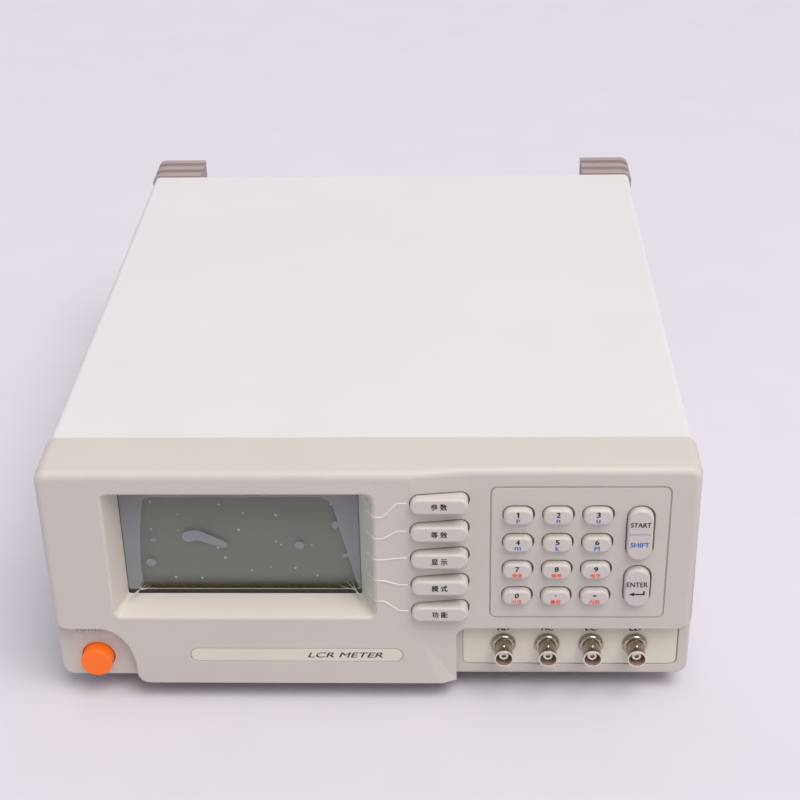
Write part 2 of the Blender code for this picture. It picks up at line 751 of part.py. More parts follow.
def vent_slots(front):
    """Two banks of upright slots near the top of the rear panel."""
    bank_x, count, pitch, width = 0.060, 8, 0.0080, 0.0032
    height, drop = 0.0300, 0.0410
    slots = []
    for bank in (-bank_x, bank_x):
        for index in range(count):
            x = bank + (index - (count - 1) / 2) * pitch
            slots.append(panel_opening("tool_slot", (x, TOP - drop), width / 2, height / 2, front))
    return slots


def rear_panel():
    half = CASE_WIDTH / 2 - SHEET - GAP
    front = REAR - PANEL_SETBACK - SHEET
    plate = panel_plate("rear_panel", half, BOTTOM + 0.0003, TOP - SHEET - GAP, front)
    tools = vent_slots(front)
    tools.append(panel_opening("tool_inlet_hole", INLET_PLACE, 0.0140, 0.0100, front))
    tools.append(panel_opening("tool_port_hole", PORT_PLACE, 0.0100, 0.0057, front))
    for (x, z), radius, sides in ((FUSE_PLACE, 0.0063, 16), (EARTH_PLACE, 0.0033, 12)):
        centre = (x, front + SHEET / 2, z)
        tools.append(cylinder("tool_round_hole", centre, radius, 0.01, "Y", sides, TOOLS))
    cut(plate, merged("tool_rear_openings", tools))
    finish(freeze(plate), "painted_steel")


def rear_foot(name, side, level):
    """A ribbed corner foot: side is -1 or 1, and level is 1 at the top and -1 at the bottom."""
    width, height = REAR_FOOT_SIZE
    outer, reach, corner = REAR_FOOT_HALF_SPAN, REAR_FOOT_REACH, 0.0060
    edge = TOP if level > 0 else BOTTOM
    groove = 0.0024
    ribs = ((0.0, 0.0025, groove), (0.0025, 0.0085, 0.0), (0.0085, 0.0155, groove),
            (0.0155, 0.0215, 0.0), (0.0215, 0.0285, groove), (0.0285, reach, 0.0))
    sections = []
    for start, end, inset in ribs:
        for depth in (start, end):
            x, z = outer - inset, height - inset
            outline = [(outer - width, 0.0), (x, 0.0)]
            outline += arc(x - corner, z - corner, corner, corner, 0, 90, 4)
            outline += [(outer - width, z)]
            placed = [(side * px, edge + level * (pz - height)) for px, pz in outline]
            sections.append((REAR + GAP + depth, placed))
    finish(loft(name, sections), "foot_plastic")


def rear_feet():
    for side, side_name in ((-1, "left"), (1, "right")):
        for level, level_name in ((1, "upper"), (-1, "lower")):
            rear_foot(f"rear_foot_{level_name}_{side_name}", side, level)


def base_feet():
    """Round rubber feet under the pan, each with a recess for its screw."""
    top, radius = FOOT_HEIGHT - GAP, 0.0100
    recess, recess_top = 0.0034, 0.0060
    profile = [(0.0, recess_top), (recess, recess_top), (recess, 0.0), (radius - 0.0008, 0.0),
               (radius, 0.0010), (radius - 0.0015, top), (0.0, top)]
    for side, side_name in ((-1, "left"), (1, "right")):
        for depth, end_name in BASE_FOOT_DEPTHS:
            foot = turned(f"base_foot_{end_name}_{side_name}", profile, 0.0, 0.0, 14)
            foot.data.transform(Matrix.Rotation(math.pi / 2, 4, "X"))
            foot.location = (side * BASE_FOOT_X, SEAM + depth, 0.0)
            finish(foot, "rubber")


# ---------------------------------------------------------------------------------------------
# Rear connectors and inner pieces
# ---------------------------------------------------------------------------------------------

def power_inlet():
    """A flanged appliance inlet whose three blades stand in an open recess."""
    x, z = INLET_PLACE
    face = REAR + GAP
    flange = shifted(rounded_box(-0.0240, 0.0240, -0.0115, 0.0115, 0.003, 2), x, z)
    inlet = slab("power_inlet", flange, face, face + 0.0020)
    body_half, body_rise = 0.0135, 0.0095
    body = box("tool_inlet_body", (x - body_half, REAR - 0.0220, z - body_rise),
               (x + body_half, face + 0.0005, z + body_rise), TOOLS)
    recess_outline = shifted(rounded_box(-0.0120, 0.0120, -0.0080, 0.0080, 0.002, 2), x, z)
    recess = slab("tool_inlet_recess", recess_outline, REAR - 0.0170, face + 0.0030, TOOLS)
    blade_half, blade_rise, blade_spread, blade_offset = 0.0010, 0.0020, 0.0070, 0.0020
    blades = []
    for side in (-1, 0, 1):
        blade_x = x + side * blade_spread
        blade_z = z - blade_offset if side else z + blade_offset
        blades.append(box("tool_blade", (blade_x - blade_half, REAR - 0.0180, blade_z - blade_rise),
                          (blade_x + blade_half, REAR - 0.0035, blade_z + blade_rise), TOOLS))
    join(inlet, body)
    cut(inlet, recess)
    join(inlet, merged("tool_inlet_blades", blades))
    finish(freeze(inlet), "black_plastic")


def fuse_holder():
    """A round body behind the panel, with a flange and a screw cap outside."""
    face = REAR + GAP
    body, flange, cap_root, cap = 0.0060, 0.0085, 0.0062, 0.0058
    front, flange_back, cap_back = REAR - 0.0280, face + 0.0020, face + 0.0100
    profile = [(0.0, front), (body, front), (body, face), (flange, face), (flange, flange_back),
               (cap_root, flange_back), (cap, cap_back), (0.0, cap_back)]
    finish(turned("fuse_holder", profile, *FUSE_PLACE, 16), "black_plastic")


def interface_port():
    """A data connector: a flange with a round-cornered shell outside and a body behind the panel."""
    x, z = PORT_PLACE
    face = REAR + GAP
    flange = shifted(rounded_box(-0.0155, 0.0155, -0.0063, 0.0063, 0.001, 1), x, z)
    port = slab("interface_port", flange, face, face + 0.0010)
    shell_outline = shifted(rounded_box(-0.0090, 0.0090, -0.0045, 0.0045, 0.002, 2), x, z)
    shell = slab("tool_port_shell", shell_outline, face + 0.0005, face + 0.0065, TOOLS)
    body_half, body_rise = 0.0095, 0.0052
    body = box("tool_port_body", (x - body_half, REAR - 0.0120, z - body_rise),
               (x + body_half, face + 0.0005, z + body_rise), TOOLS)
    join(port, shell, body)
    finish(freeze(port), "zinc_steel")


def earth_terminal():
    """A threaded post with a washer against the panel and a knob at its end."""
    face = REAR + GAP
    post, washer, knob = 0.0030, 0.0055, 0.0062
    front, washer_back, knob_front = REAR - 0.0100, face + 0.0020, face + 0.0060
    knob_back, end = face + 0.0140, face + 0.0150
    profile = [(0.0, front), (post, front), (post, face), (washer, face), (washer, washer_back),
               (post, washer_back), (post, knob_front), (knob, knob_front), (knob, knob_back),
               (post, end), (0.0, end)]
    finish(turned("earth_terminal", profile, *EARTH_PLACE, 14), "nickel")


def transformer():
    """A laminated core with its winding standing out at the front and back."""
    left, right, front, back = -0.1500, -0.0740, SEAM + 0.2950, SEAM + 0.3250
    floor, height, yoke, overhang = BOTTOM + SHEET + GAP, 0.0640, 0.0130, 0.0150
    core = box("transformer", (left, front, floor), (right, back, floor + height))
    winding = box("tool_winding", (left + yoke, front - overhang, floor + yoke),
                  (right - yoke, back + overhang, floor + height - yoke), TOOLS)
    join(core, winding)
    finish(freeze(core), "laminated_steel")


def main_board():
    """The circuit board on the pan's posts, with a screening can over its measuring circuit."""
    level = BOTTOM + SHEET + POST_HEIGHT + GAP
    above = level + BOARD_THICKNESS
    board = box("main_board", (-0.1520, SEAM + 0.0360, level), (0.1600, SEAM + 0.2600, above))
    finish(board, "circuit_board")
    base, can_height = above + GAP, 0.0240
    can = box("shield_can", (0.0600, SEAM + 0.0460, base), (0.1500, SEAM + 0.1160, base + can_height))
    finish(can, "zinc_steel")


# ---------------------------------------------------------------------------------------------
# Assembly
# ---------------------------------------------------------------------------------------------

clear_scene()
PARTS = new_collection("lcr_meter")
TOOLS = new_collection("cutting_tools")
ROOT = link("lcr_meter", None, PARTS)
SURFACES = {material_name: make_material(material_name) for material_name in MATERIALS}

front_bezel()
display_stack()
nameplate()
terminal_plate()
keys()
key_board()
power_button()
power_switch()
sockets()
top_cover()
chassis_pan()
front_subpanel()
rear_panel()
rear_feet()
base_feet()
power_inlet()
fuse_holder()
interface_port()
earth_terminal()
transformer()
main_board()
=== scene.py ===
"""Looks of the bench LCR meter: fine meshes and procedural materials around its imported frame.

Everything is in metres in the frame's own axes, unless a table says millimetres: +Z is up and the front
panel faces -Y. "Drop" is a height measured down from the top of the case, and "depth" is a place along Y.
"""
import math
import random

import bmesh
import bpy
from mathutils import Matrix, Vector


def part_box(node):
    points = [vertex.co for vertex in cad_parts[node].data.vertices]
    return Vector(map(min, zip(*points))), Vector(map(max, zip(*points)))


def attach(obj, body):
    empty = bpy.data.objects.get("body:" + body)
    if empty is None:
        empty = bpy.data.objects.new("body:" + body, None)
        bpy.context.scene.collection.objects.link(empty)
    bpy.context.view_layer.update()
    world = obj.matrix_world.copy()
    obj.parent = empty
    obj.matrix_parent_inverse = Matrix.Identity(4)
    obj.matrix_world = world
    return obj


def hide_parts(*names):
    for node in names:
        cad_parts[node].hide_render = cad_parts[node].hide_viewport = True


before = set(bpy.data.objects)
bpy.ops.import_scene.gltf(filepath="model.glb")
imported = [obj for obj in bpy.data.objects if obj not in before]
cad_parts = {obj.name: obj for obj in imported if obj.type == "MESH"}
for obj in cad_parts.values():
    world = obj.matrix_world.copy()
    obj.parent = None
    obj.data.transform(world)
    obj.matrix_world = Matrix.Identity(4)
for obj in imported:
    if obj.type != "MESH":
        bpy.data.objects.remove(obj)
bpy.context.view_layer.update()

# ---- Places taken from the frame ----

MM = 0.001
GAP = 0.0003
BEZEL_LOW, BEZEL_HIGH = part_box("front_bezel")
COVER_LOW, COVER_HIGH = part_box("top_cover")
TOP, BOTTOM = BEZEL_HIGH.z, BEZEL_LOW.z
DISPLAY_PLANE = BEZEL_LOW.y
SEAM = COVER_LOW.y - GAP / 2
KEYPAD_PLANE = DISPLAY_PLANE + 0.004
SWITCH_PLANE = DISPLAY_PLANE + 0.0076
SOCKET_PLANE = DISPLAY_PLANE + 0.01
WALL = 0.003
KEYPAD_WALL_BACK = KEYPAD_PLANE + WALL
BASE_WALL_BACK = SOCKET_PLANE + 0.0035

# Front bezel
BEZEL_HALF = BEZEL_HIGH.x
BEZEL_CORNER = 0.007
LAYER_HALF = 0.1765
LAYER_CORNER = 0.0066
LAYER_SPARE = 0.0012
LAYER_STEP_X = 0.0472
LAYER_STEP_DROP = 0.1043
SWITCH_BAY_X = -0.133
SWITCH_BAY_DROP = 0.1023
FRONT_ROUND = 0.0042
EDGE_ROUND = 0.0009
BASE_ROUND = 0.0016

# Outlines on the panel, as (left, right, top drop, bottom drop)
WINDOW_OUTER = (-0.142, 0.003, 0.0132, 0.094)
WINDOW_INNER = (-0.1362, -0.0054, 0.018, 0.0891)
GROOVE = (0.0655, 0.1605, 0.0109, 0.096)
NAMEPLATE = (-0.1015, 0.017, 0.1152, 0.124)
TERMINAL_PLATE = (0.0508, 0.1704, 0.1053, 0.133)
WINDOW_REAR = SEAM - 0.0205
WINDOW_ROUND = 0.0013
GROOVE_CORNER = 0.0036

# Keys, button and sockets
KEY_CLEARANCE = 0.0006
KEY_FLANGE = 0.0012
KEY_ROUND = 0.0014
BUTTON_FLANGE = 0.0016
FUNCTION_KEYS = [f"function_key_{row}" for row in range(1, 6)]
NUMBER_KEYS = [f"key_{digit}" for digit in range(10)] + ["key_point", "key_sign"]
SOCKETS = range(1, 5)
PRINT = 0.00003


# ---- Materials: sizes in millimetres, reliefs in micrometres ----

SURFACES = {}
NOISE_SPAN = (0.32, 0.68)
WARM_GREY = (0.6, 0.553, 0.513)


def noise(nodes, links, source, size, detail=3, roughness=0.55):
    """A noise texture whose blobs are about size millimetres across."""
    texture = nodes.new("ShaderNodeTexNoise")
    texture.inputs["Scale"].default_value = 1 / (size * MM)
    texture.inputs["Detail"].default_value = detail
    texture.inputs["Roughness"].default_value = roughness
    links.new(source, texture.inputs["Vector"])
    return texture.outputs["Fac"]


def spread(nodes, links, value, before, after, interpolation="LINEAR"):
    """A node that carries a value from one (low, high) range over to another."""
    node = nodes.new("ShaderNodeMapRange")
    node.interpolation_type = interpolation
    for socket, number in zip(("From Min", "From Max", "To Min", "To Max"), (*before, *after)):
        node.inputs[socket].default_value = number
    links.new(value, node.inputs["Value"])
    return node


def mixed(nodes, links, factor, first, second):
    node = nodes.new("ShaderNodeMix")
    node.data_type = "RGBA"
    links.new(factor, node.inputs["Factor"])
    for index, value in ((6, first), (7, second)):
        if isinstance(value, tuple):
            node.inputs[index].default_value = (*value, 1)
        else:
            links.new(value, node.inputs[index])
    return node.outputs[2]


def surface(name, colour, roughness, metallic=0, tone=0.03, tone_size=60, speck=0.02, speck_size=0.6,
            relief=10, relief_size=0.5, rough_spread=0.06, stretch=None, **fixed):
    """Add a procedural material with a slow change of tone, a speckle, uneven gloss and a moulded relief."""
    material = bpy.data.materials.new(name)
    material.use_nodes = True
    nodes, links = material.node_tree.nodes, material.node_tree.links
    shader = nodes["Principled BSDF"]
    place = nodes.new("ShaderNodeTexCoord").outputs["Object"]
    if stretch:
        mapping = nodes.new("ShaderNodeMapping")
        mapping.inputs["Scale"].default_value = stretch
        links.new(place, mapping.inputs["Vector"])
        place = mapping.outputs["Vector"]

    def uneven(size, low, high, *details):
        """A noise spread over low to high."""
        value = noise(nodes, links, place, size, *details)
        return spread(nodes, links, value, NOISE_SPAN, (low, high)).outputs["Result"]

    darker = tuple(channel * (1 - tone) for channel in colour)
    lighter = tuple(min(1, channel * (1 + tone)) for channel in colour)
    base = mixed(nodes, links, uneven(tone_size, 0, 1), darker, lighter)
    fleck = tuple(channel * 0.45 for channel in colour)
    speckled = mixed(nodes, links, uneven(speck_size, 0, speck, 2), base, fleck)
    links.new(speckled, shader.inputs["Base Color"])

    smoothest = max(0.02, roughness - rough_spread)
    gloss = uneven(tone_size * 0.3, smoothest, roughness + rough_spread, 4, 0.6)
    links.new(gloss, shader.inputs["Roughness"])
    if relief:
        bump = nodes.new("ShaderNodeBump")
        bump.inputs["Distance"].default_value = relief * 1e-6
        bump.inputs["Strength"].default_value = 1
        links.new(noise(nodes, links, place, relief_size, 2), bump.inputs["Height"])
        links.new(bump.outputs["Normal"], shader.inputs["Normal"])
    shader.inputs["Metallic"].default_value = metallic
    for socket, value in fixed.items():
        shader.inputs[socket.replace("_", " ")].default_value = value
    SURFACES[name] = material


surface("bezel_plastic", WARM_GREY, 0.46, tone=0.015, relief=12)
# A paler copy of the bezel plastic for the sloped walls round the display: painted light on them.
surface("window_walls_painted_light", (0.672, 0.618, 0.562), 0.42, tone=0.015, relief=12)
surface("key_plastic", (0.605, 0.558, 0.53), 0.4, tone=0.01, relief=6)
# A paler copy of the bezel plastic for the moulded lines and marks: a painted highlight on their raised tops.
surface("line_plastic_painted_highlight", (0.74, 0.7, 0.66), 0.44, tone=0.01, relief=6)
# The emission is a painted glow: the cap is no lamp, and it makes the orange brighter than the lamps alone
# light it.
surface("button_plastic", (0.86, 0.152, 0.005), 0.42, tone=0.02, relief=8,
        Emission_Color=(1, 0.13, 0.004, 1), Emission_Strength=0.18)
surface("painted_steel", (0.705, 0.684, 0.69), 0.5, tone=0.012, tone_size=120, relief_size=0.9)
surface("zinc_steel", (0.6, 0.61, 0.62), 0.36, metallic=1, tone=0.1, tone_size=12, rough_spread=0.1)
surface("nickel", (0.445, 0.39, 0.32), 0.15, metallic=1, tone=0.04, tone_size=6, relief=4, relief_size=0.4)
# A bright, less metallic copy of the nickel for the socket mouths' rims: a painted highlight.
surface("nickel_rim_painted_highlight", (0.82, 0.77, 0.71), 0.3, metallic=0.6, tone_size=4)
# A duller, browner copy of the nickel for the sockets' bores: painted light, so the bores read as lit from
# above.
surface("nickel_bore_painted_light", (0.5, 0.385, 0.32), 0.42, metallic=0.6, tone=0.06, tone_size=3)
surface("gilt", (0.8, 0.55, 0.22), 0.25, metallic=1, tone=0.05, tone_size=2)
surface("white_insulator", (0.93, 0.91, 0.87), 0.38, tone=0.02, tone_size=4)
surface("label_film", (0.715, 0.675, 0.577), 0.48, tone=0.015, tone_size=30)
surface("foot_plastic", (0.38, 0.312, 0.302), 0.55, relief=18)
surface("rubber", (0.04, 0.038, 0.038), 0.75, tone=0.12, tone_size=8, relief=30)
surface("black_plastic", (0.028, 0.028, 0.03), 0.42, tone=0.1, tone_size=10)
surface("circuit_board", (0.02, 0.13, 0.055), 0.4, tone=0.15, tone_size=10)
surface("laminated_steel", (0.2, 0.19, 0.18), 0.5, metallic=0.8, tone=0.15, tone_size=10,
        stretch=(1, 1, 6))
for ink, ink_colour, ink_tone in (
        ("black_ink", (0.012, 0.011, 0.012), 0.15), ("blue_ink", (0.02, 0.105, 0.5), 0.1),
        ("red_ink", (0.85, 0.085, 0.035), 0.1), ("grey_ink", (0.23, 0.22, 0.215), 0.1)):
    surface(ink, ink_colour, 0.5, tone=ink_tone, tone_size=2)
surface("display_mask", (0.012, 0.01, 0.009), 0.35, tone=0.1, tone_size=10)
surface("liquid_crystal", (0.085, 0.094, 0.06), 0.42, tone=0.05, tone_size=45, speck=0.04, speck_size=0.5,
        relief=0, rough_spread=0.02)
surface("clear_plastic", (0.75, 0.78, 0.76), 0.12, tone=0.02, relief=0, Alpha=0.05)
surface("clear_film", (0.8, 0.82, 0.8), 0.16, tone=0.02, relief=0, Alpha=0.04)
# The lifted film's pale bluish haze is a painted reflection off the air under it.
surface("lifted_film_painted_reflection", (0.58, 0.59, 0.625), 0.3, tone=0.04, tone_size=20, relief=0, Alpha=0.27)
# Pale opaque colour for the film's creases: a painted highlight along them.
surface("crease_painted_highlight", (0.6, 0.565, 0.51), 0.35, tone=0.08, tone_size=4, relief=0)
surface("dust", (0.43, 0.43, 0.4), 0.6, tone=0.08, tone_size=4, relief=0)
surface("film_lip", (0.4, 0.36, 0.31), 0.35, tone=0.08, tone_size=10, relief=0)
# A faint brownish tint in stepped strips at the display's foot: painted shade.
surface("film_glue", (0.19, 0.155, 0.06), 0.5, tone=0.1, tone_size=10, relief=0, Alpha=0.07)
surface("curled_film", (0.86, 0.96, 0.86), 0.22, tone=0.04, tone_size=10, relief=0, Alpha=0.24)


# ---- Mesh helpers ----

def arc(centre_x, centre_z, radius_x, radius_z, start, end, steps):
    """Points on an ellipse's arc, from start to end in degrees, anticlockwise seen from the front."""
    points = []
    for step in range(steps + 1):
        angle = math.radians(start + (end - start) * step / steps)
        points.append((centre_x + radius_x * math.cos(angle), centre_z + radius_z * math.sin(angle)))
    return points


def rounded_box(left, right, low, high, radius, steps=8):
    """The outline of a rectangle with round corners."""
    outline = []
    for x, z, start in ((right - radius, high - radius, 0), (left + radius, high - radius, 90),
                        (left + radius, low + radius, 180), (right - radius, low + radius, 270)):
        outline += arc(x, z, radius, radius, start, start + 90, steps)
    return outline


def middle_box(x, z, half_x, half_z, radius, steps=8):
    """A rounded rectangle about its middle."""
    return rounded_box(x - half_x, x + half_x, z - half_z, z + half_z, radius, steps)


def panel_box(edges, grow, radius, steps=8):
    """A rounded rectangle from its places on the panel, grown outwards by grow."""
    left, right, top_drop, bottom_drop = edges
    low, high = TOP - bottom_drop - grow, TOP - top_drop + grow
    return rounded_box(left - grow, right + grow, low, high, radius, steps)


def top_corners(half, top, corner, steps):
    """Points over two round top corners, from the left side to the right one."""
    outline = arc(-half + corner, top - corner, corner, corner, 180, 90, steps)
    return outline + arc(half - corner, top - corner, corner, corner, 90, 0, steps)


def quarter(steps, start=0):
    """(sine, cosine) pairs through a quarter turn."""
    angles = [math.pi / 2 * step / steps for step in range(start, steps + 1)]
    return [(math.sin(angle), math.cos(angle)) for angle in angles]


def offsets(depth, table):
    """(radius, depth) points from a table in millimetres whose depths are measured from a place."""
    return [(radius * MM, depth + run * MM) for radius, run in table]


def middle_of(node):
    """The middle of a node's CAD box, seen from the front."""
    low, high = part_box(node)
    return (low.x + high.x) / 2, (low.z + high.z) / 2


def span_of(node):
    """The middle of a node's CAD box, seen from the front, and its front and back depths."""
    low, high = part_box(node)
    return *middle_of(node), low.y, high.y


def link(name, data):
    """Put an object with this mesh, curve, light or camera into the scene."""
    piece = bpy.data.objects.new(name, data)
    bpy.context.scene.collection.objects.link(piece)
    return piece


def tidy_body(bm):
    bmesh.ops.remove_doubles(bm, verts=bm.verts, dist=1e-6)
    bmesh.ops.recalc_face_normals(bm, faces=bm.faces)


def from_bmesh(name, bm):
    tidy_body(bm)
    mesh = bpy.data.meshes.new(name)
    bm.to_mesh(mesh)
    bm.free()
    return link(name, mesh)


def solid(name, rings, capped=True, closed=False):
    """A body through rings of points; a ring of one point is a tip, and closed joins last to first."""
    bm = bmesh.new()
    rings = [[bm.verts.new(point) for point in ring] for ring in rings]
    for near, far in zip(rings, rings[1:] + rings[:1] if closed else rings[1:]):
        count = max(len(near), len(far))
        for index in range(count):
            following = (index + 1) % count
            corners = [near[index % len(near)], near[following % len(near)],
                       far[following % len(far)], far[index % len(far)]]
            corners = list(dict.fromkeys(corners))
            if len(corners) > 2:
                bm.faces.new(corners)
    if capped:
        bm.faces.new(rings[0])
        bm.faces.new(rings[-1])
    return from_bmesh(name, bm)


def loft(name, sections, closed=False):
    """A body through (depth, outline) sections."""
    rings = [[(x, depth, z) for x, z in outline] for depth, outline in sections]
    return solid(name, rings, not closed, closed)


def slab(name, outline, front, back):
    return loft(name, [(front, outline), (back, outline)])


def box(name, low, high):
    bm = bmesh.new()
    bmesh.ops.create_cube(bm, size=1)
    low, high = Vector(low), Vector(high)
    bmesh.ops.scale(bm, vec=high - low, verts=bm.verts)
    bmesh.ops.translate(bm, vec=(low + high) / 2, verts=bm.verts)
    return from_bmesh(name, bm)


def turned(name, profile, x, z, steps=48):
    """A body of revolution about a front-to-back axis through (x, z), from (radius, depth) points."""
    rings = []
    for radius, depth in profile:
        circle = arc(x, z, radius, radius, 0, 360, steps)[:-1] if radius else [(x, z)]
        rings.append([(px, depth, pz) for px, pz in circle])
    return solid(name, rings, capped=False)


def evaluated_mesh(piece):
    """A new mesh of a piece or curve as its modifiers leave it."""
    bpy.context.view_layer.update()
    return bpy.data.meshes.new_from_object(piece.evaluated_get(bpy.context.evaluated_depsgraph_get()))


def applied(piece):
    """Apply a piece's modifiers."""
    mesh = evaluated_mesh(piece)
    piece.modifiers.clear()
    piece.data = mesh
    return piece


def boolean(piece, tools, operation="DIFFERENCE"):
    """Cut the tools off a piece, or add them to it, and take them out of the scene."""
    for tool in tools:
        modifier = piece.modifiers.new(tool.name, "BOOLEAN")
        modifier.operation = operation
        modifier.solver = "EXACT"
        modifier.object = tool
    applied(piece)
    for tool in tools:
        bpy.data.objects.remove(tool, do_unlink=True)
    return piece


def merged(name, pieces):
    """Join meshes into one, keeping each one's materials."""
    slots = []
    bm = bmesh.new()
    for piece in pieces:
        used = list(piece.data.materials)
        first = len(bm.faces)
        bm.from_mesh(piece.data)
        bm.faces.ensure_lookup_table()
        for face in bm.faces[first:] if used else ():
            material = used[face.material_index]
            if material not in slots:
                slots.append(material)
            face.material_index = slots.index(material)
        bpy.data.objects.remove(piece, do_unlink=True)
    mesh = bpy.data.meshes.new(name)
    bm.to_mesh(mesh)
    bm.free()
    for material in slots:
        mesh.materials.append(material)
    return link(name, mesh)


def softened(piece, width, segments=2, angle=35):
    """Round a piece's hard edges."""
    bevel = piece.modifiers.new("edges", "BEVEL")
    bevel.width = width
    bevel.segments = segments
    bevel.limit_method = "ANGLE"
    bevel.angle_limit = math.radians(angle)
    return applied(piece)


def smooth(piece, angle=40, weighted=False):
    piece.data.shade_smooth()
    piece.data.set_sharp_from_angle(angle=math.radians(angle))
    if weighted:
        modifier = piece.modifiers.new("flat_faces", "WEIGHTED_NORMAL")
        modifier.mode = "FACE_AREA"
        modifier.keep_sharp = True
        modifier.weight = 90
        applied(piece)
    return piece


def painted(piece, *names):
    """Give a piece its materials."""
    for name in names:
        piece.data.materials.append(SURFACES[name])
    return piece


def place(piece, slot, body="case", nodes=()):
    """Give a finished piece its body, paint it with the slot's material if it has none, and hide the CAD
    nodes that it stands for.
    """
    if not piece.data.materials:
        painted(piece, slot)
    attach(piece, body)
    if nodes:
        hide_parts(*nodes)


# ---- Front bezel ----

def layer_outline():
    """The raised layer, past its shoulders: it leaves a bay at the button and a strip at the sockets."""
    strip, bay = TOP - LAYER_STEP_DROP, TOP - SWITCH_BAY_DROP
    lip, inner, toe = 0.0085, 0.0055, 0.007
    bay_width, bay_height = 0.019, 0.0277
    half = LAYER_HALF + LAYER_SPARE
    outline = top_corners(half, TOP + LAYER_SPARE, 0.004, 7)
    outline += [(half, strip + lip)]
    outline += arc(LAYER_HALF - lip, strip + lip, lip, lip, 0, -90, 9)
    outline += arc(LAYER_STEP_X + inner, strip - inner, inner, inner, 90, 180, 9)
    outline += [(LAYER_STEP_X, BOTTOM)]
    outline += arc(SWITCH_BAY_X + toe, BOTTOM + toe, toe, toe, 270, 180, 9)
    outline += arc(SWITCH_BAY_X - bay_width, bay - bay_height, bay_width, bay_height, 0, 90, 18)
    outline += arc(-LAYER_HALF + lip, bay + lip, lip, lip, 270, 180, 9)
    return outline + [(-half, bay + lip)]


def shoulder_outline():
    """The raised layer's top and sides, which have the broad rounding; they run on below the bezel."""
    foot = BOTTOM - 0.02
    return top_corners(LAYER_HALF, TOP, LAYER_CORNER, 9) + [(LAYER_HALF, foot), (-LAYER_HALF, foot)]


def trim(bm, point, normal):
    """Cut a convex body with a plane, drop what the normal points at and close the cut."""
    geometry = bm.verts[:] + bm.edges[:] + bm.faces[:]
    bmesh.ops.bisect_plane(bm, geom=geometry, plane_co=point, plane_no=normal, clear_outer=True)
    bmesh.ops.holes_fill(bm, edges=[edge for edge in bm.edges if edge.is_boundary])


def facet_cutter():
    """What the raised layer loses where it slopes back from the display to the keypad."""
    slope_start, slope_end = 0.023, 0.0543
    fall = KEYPAD_PLANE - DISPLAY_PLANE
    flank_top = Vector((0.0237, DISPLAY_PLANE, TOP - 0.1013))
    flank_bottom = Vector((0.0384, DISPLAY_PLANE, BOTTOM + 0.002))
    flank_steepness = 0.43
    along = (flank_bottom - flank_top).normalized()
    across = Vector((-along.z, flank_steepness, along.x))
    cutter = box("tool_facet", (-0.05, DISPLAY_PLANE - 0.01, 0), (0.2, KEYPAD_PLANE, 0.17))
    bm = bmesh.new()
    bm.from_mesh(cutter.data)
    trim(bm, (slope_start, DISPLAY_PLANE, 0), Vector((-fall, slope_end - slope_start, 0)))
    trim(bm, flank_top, across.cross(along))
    tidy_body(bm)
    bm.to_mesh(cutter.data)
    bm.free()
    return cutter


def rounded_rim(piece, width, segments):
    """Round the edges between the front faces and the faces that run back from them."""
    bm = bmesh.new()
    bm.from_mesh(piece.data)
    bmesh.ops.dissolve_limit(bm, angle_limit=math.radians(0.5), verts=bm.verts, edges=bm.edges)
    rim = []
    for edge in bm.edges:
        if len(edge.link_faces) != 2:
            continue
        facing = sorted(face.normal.y for face in edge.link_faces)
        if facing[0] < -0.85 and abs(facing[1]) < 0.3:
            rim.append(edge)
    bmesh.ops.bevel(bm, geom=rim, offset=width, segments=segments, profile=0.5, affect="EDGES",
                    clamp_overlap=False)
    tidy_body(bm)
    bm.to_mesh(piece.data)
    bm.free()
    return piece


def faceted_slab(name, outline, rounding, segments):
    """A slab with the raised layer's facets in front and rounded edges round them."""
    piece = slab(name, outline, DISPLAY_PLANE, SOCKET_PLANE + 0.0005)
    boolean(piece, [facet_cutter()])
    return rounded_rim(piece, rounding, segments)


def window_edges(depth):
    """The opening's edges at a depth, on its sloped walls."""
    share = (depth - DISPLAY_PLANE) / (WINDOW_REAR - DISPLAY_PLANE)
    return [outer + (inner - outer) * share for outer, inner in zip(WINDOW_OUTER, WINDOW_INNER)]


def window_walls():
    """The sloped walls round the display, before the opening is cut through them."""
    return loft("tool_window_walls", [
        (DISPLAY_PLANE + 0.002, panel_box(WINDOW_OUTER, WALL, 0.004)),
        (WINDOW_REAR, panel_box(WINDOW_INNER, WALL, 0.002)),
    ])


def mouth(plane, radius, steps=5):
    """(depth, grow) pairs for a hole's rounded front edge, from just outside the plane to the wall."""
    curve = [(plane + radius * (1 - cosine), radius * (1 - sine)) for sine, cosine in quarter(steps, 1)]
    return [(plane - 0.001, radius)] + curve


def window_opening():
    sections = []
    for depth, grow in mouth(DISPLAY_PLANE, WINDOW_ROUND, 6):
        sections.append((depth, panel_box(window_edges(max(depth, DISPLAY_PLANE)), grow, 0.004 + grow)))
    back = WINDOW_REAR + 0.001
    sections.append((back, panel_box(window_edges(back), 0, 0.001)))
    return loft("tool_window_opening", sections)


def key_facts(node):
    """A key's centre, cap size and front depth, from its CAD box."""
    low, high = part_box(node)
    return middle_of(node), (high.x - low.x - 2 * KEY_FLANGE, high.z - low.z - 2 * KEY_FLANGE), low.y


def key_outline(centre, size, grow=0):
    """A key's outline with its short ends fully round, grown outwards by grow."""
    radius = (min(size) / 2) * 0.96 + grow
    return middle_box(*centre, size[0] / 2 + grow, size[1] / 2 + grow, radius, 9)


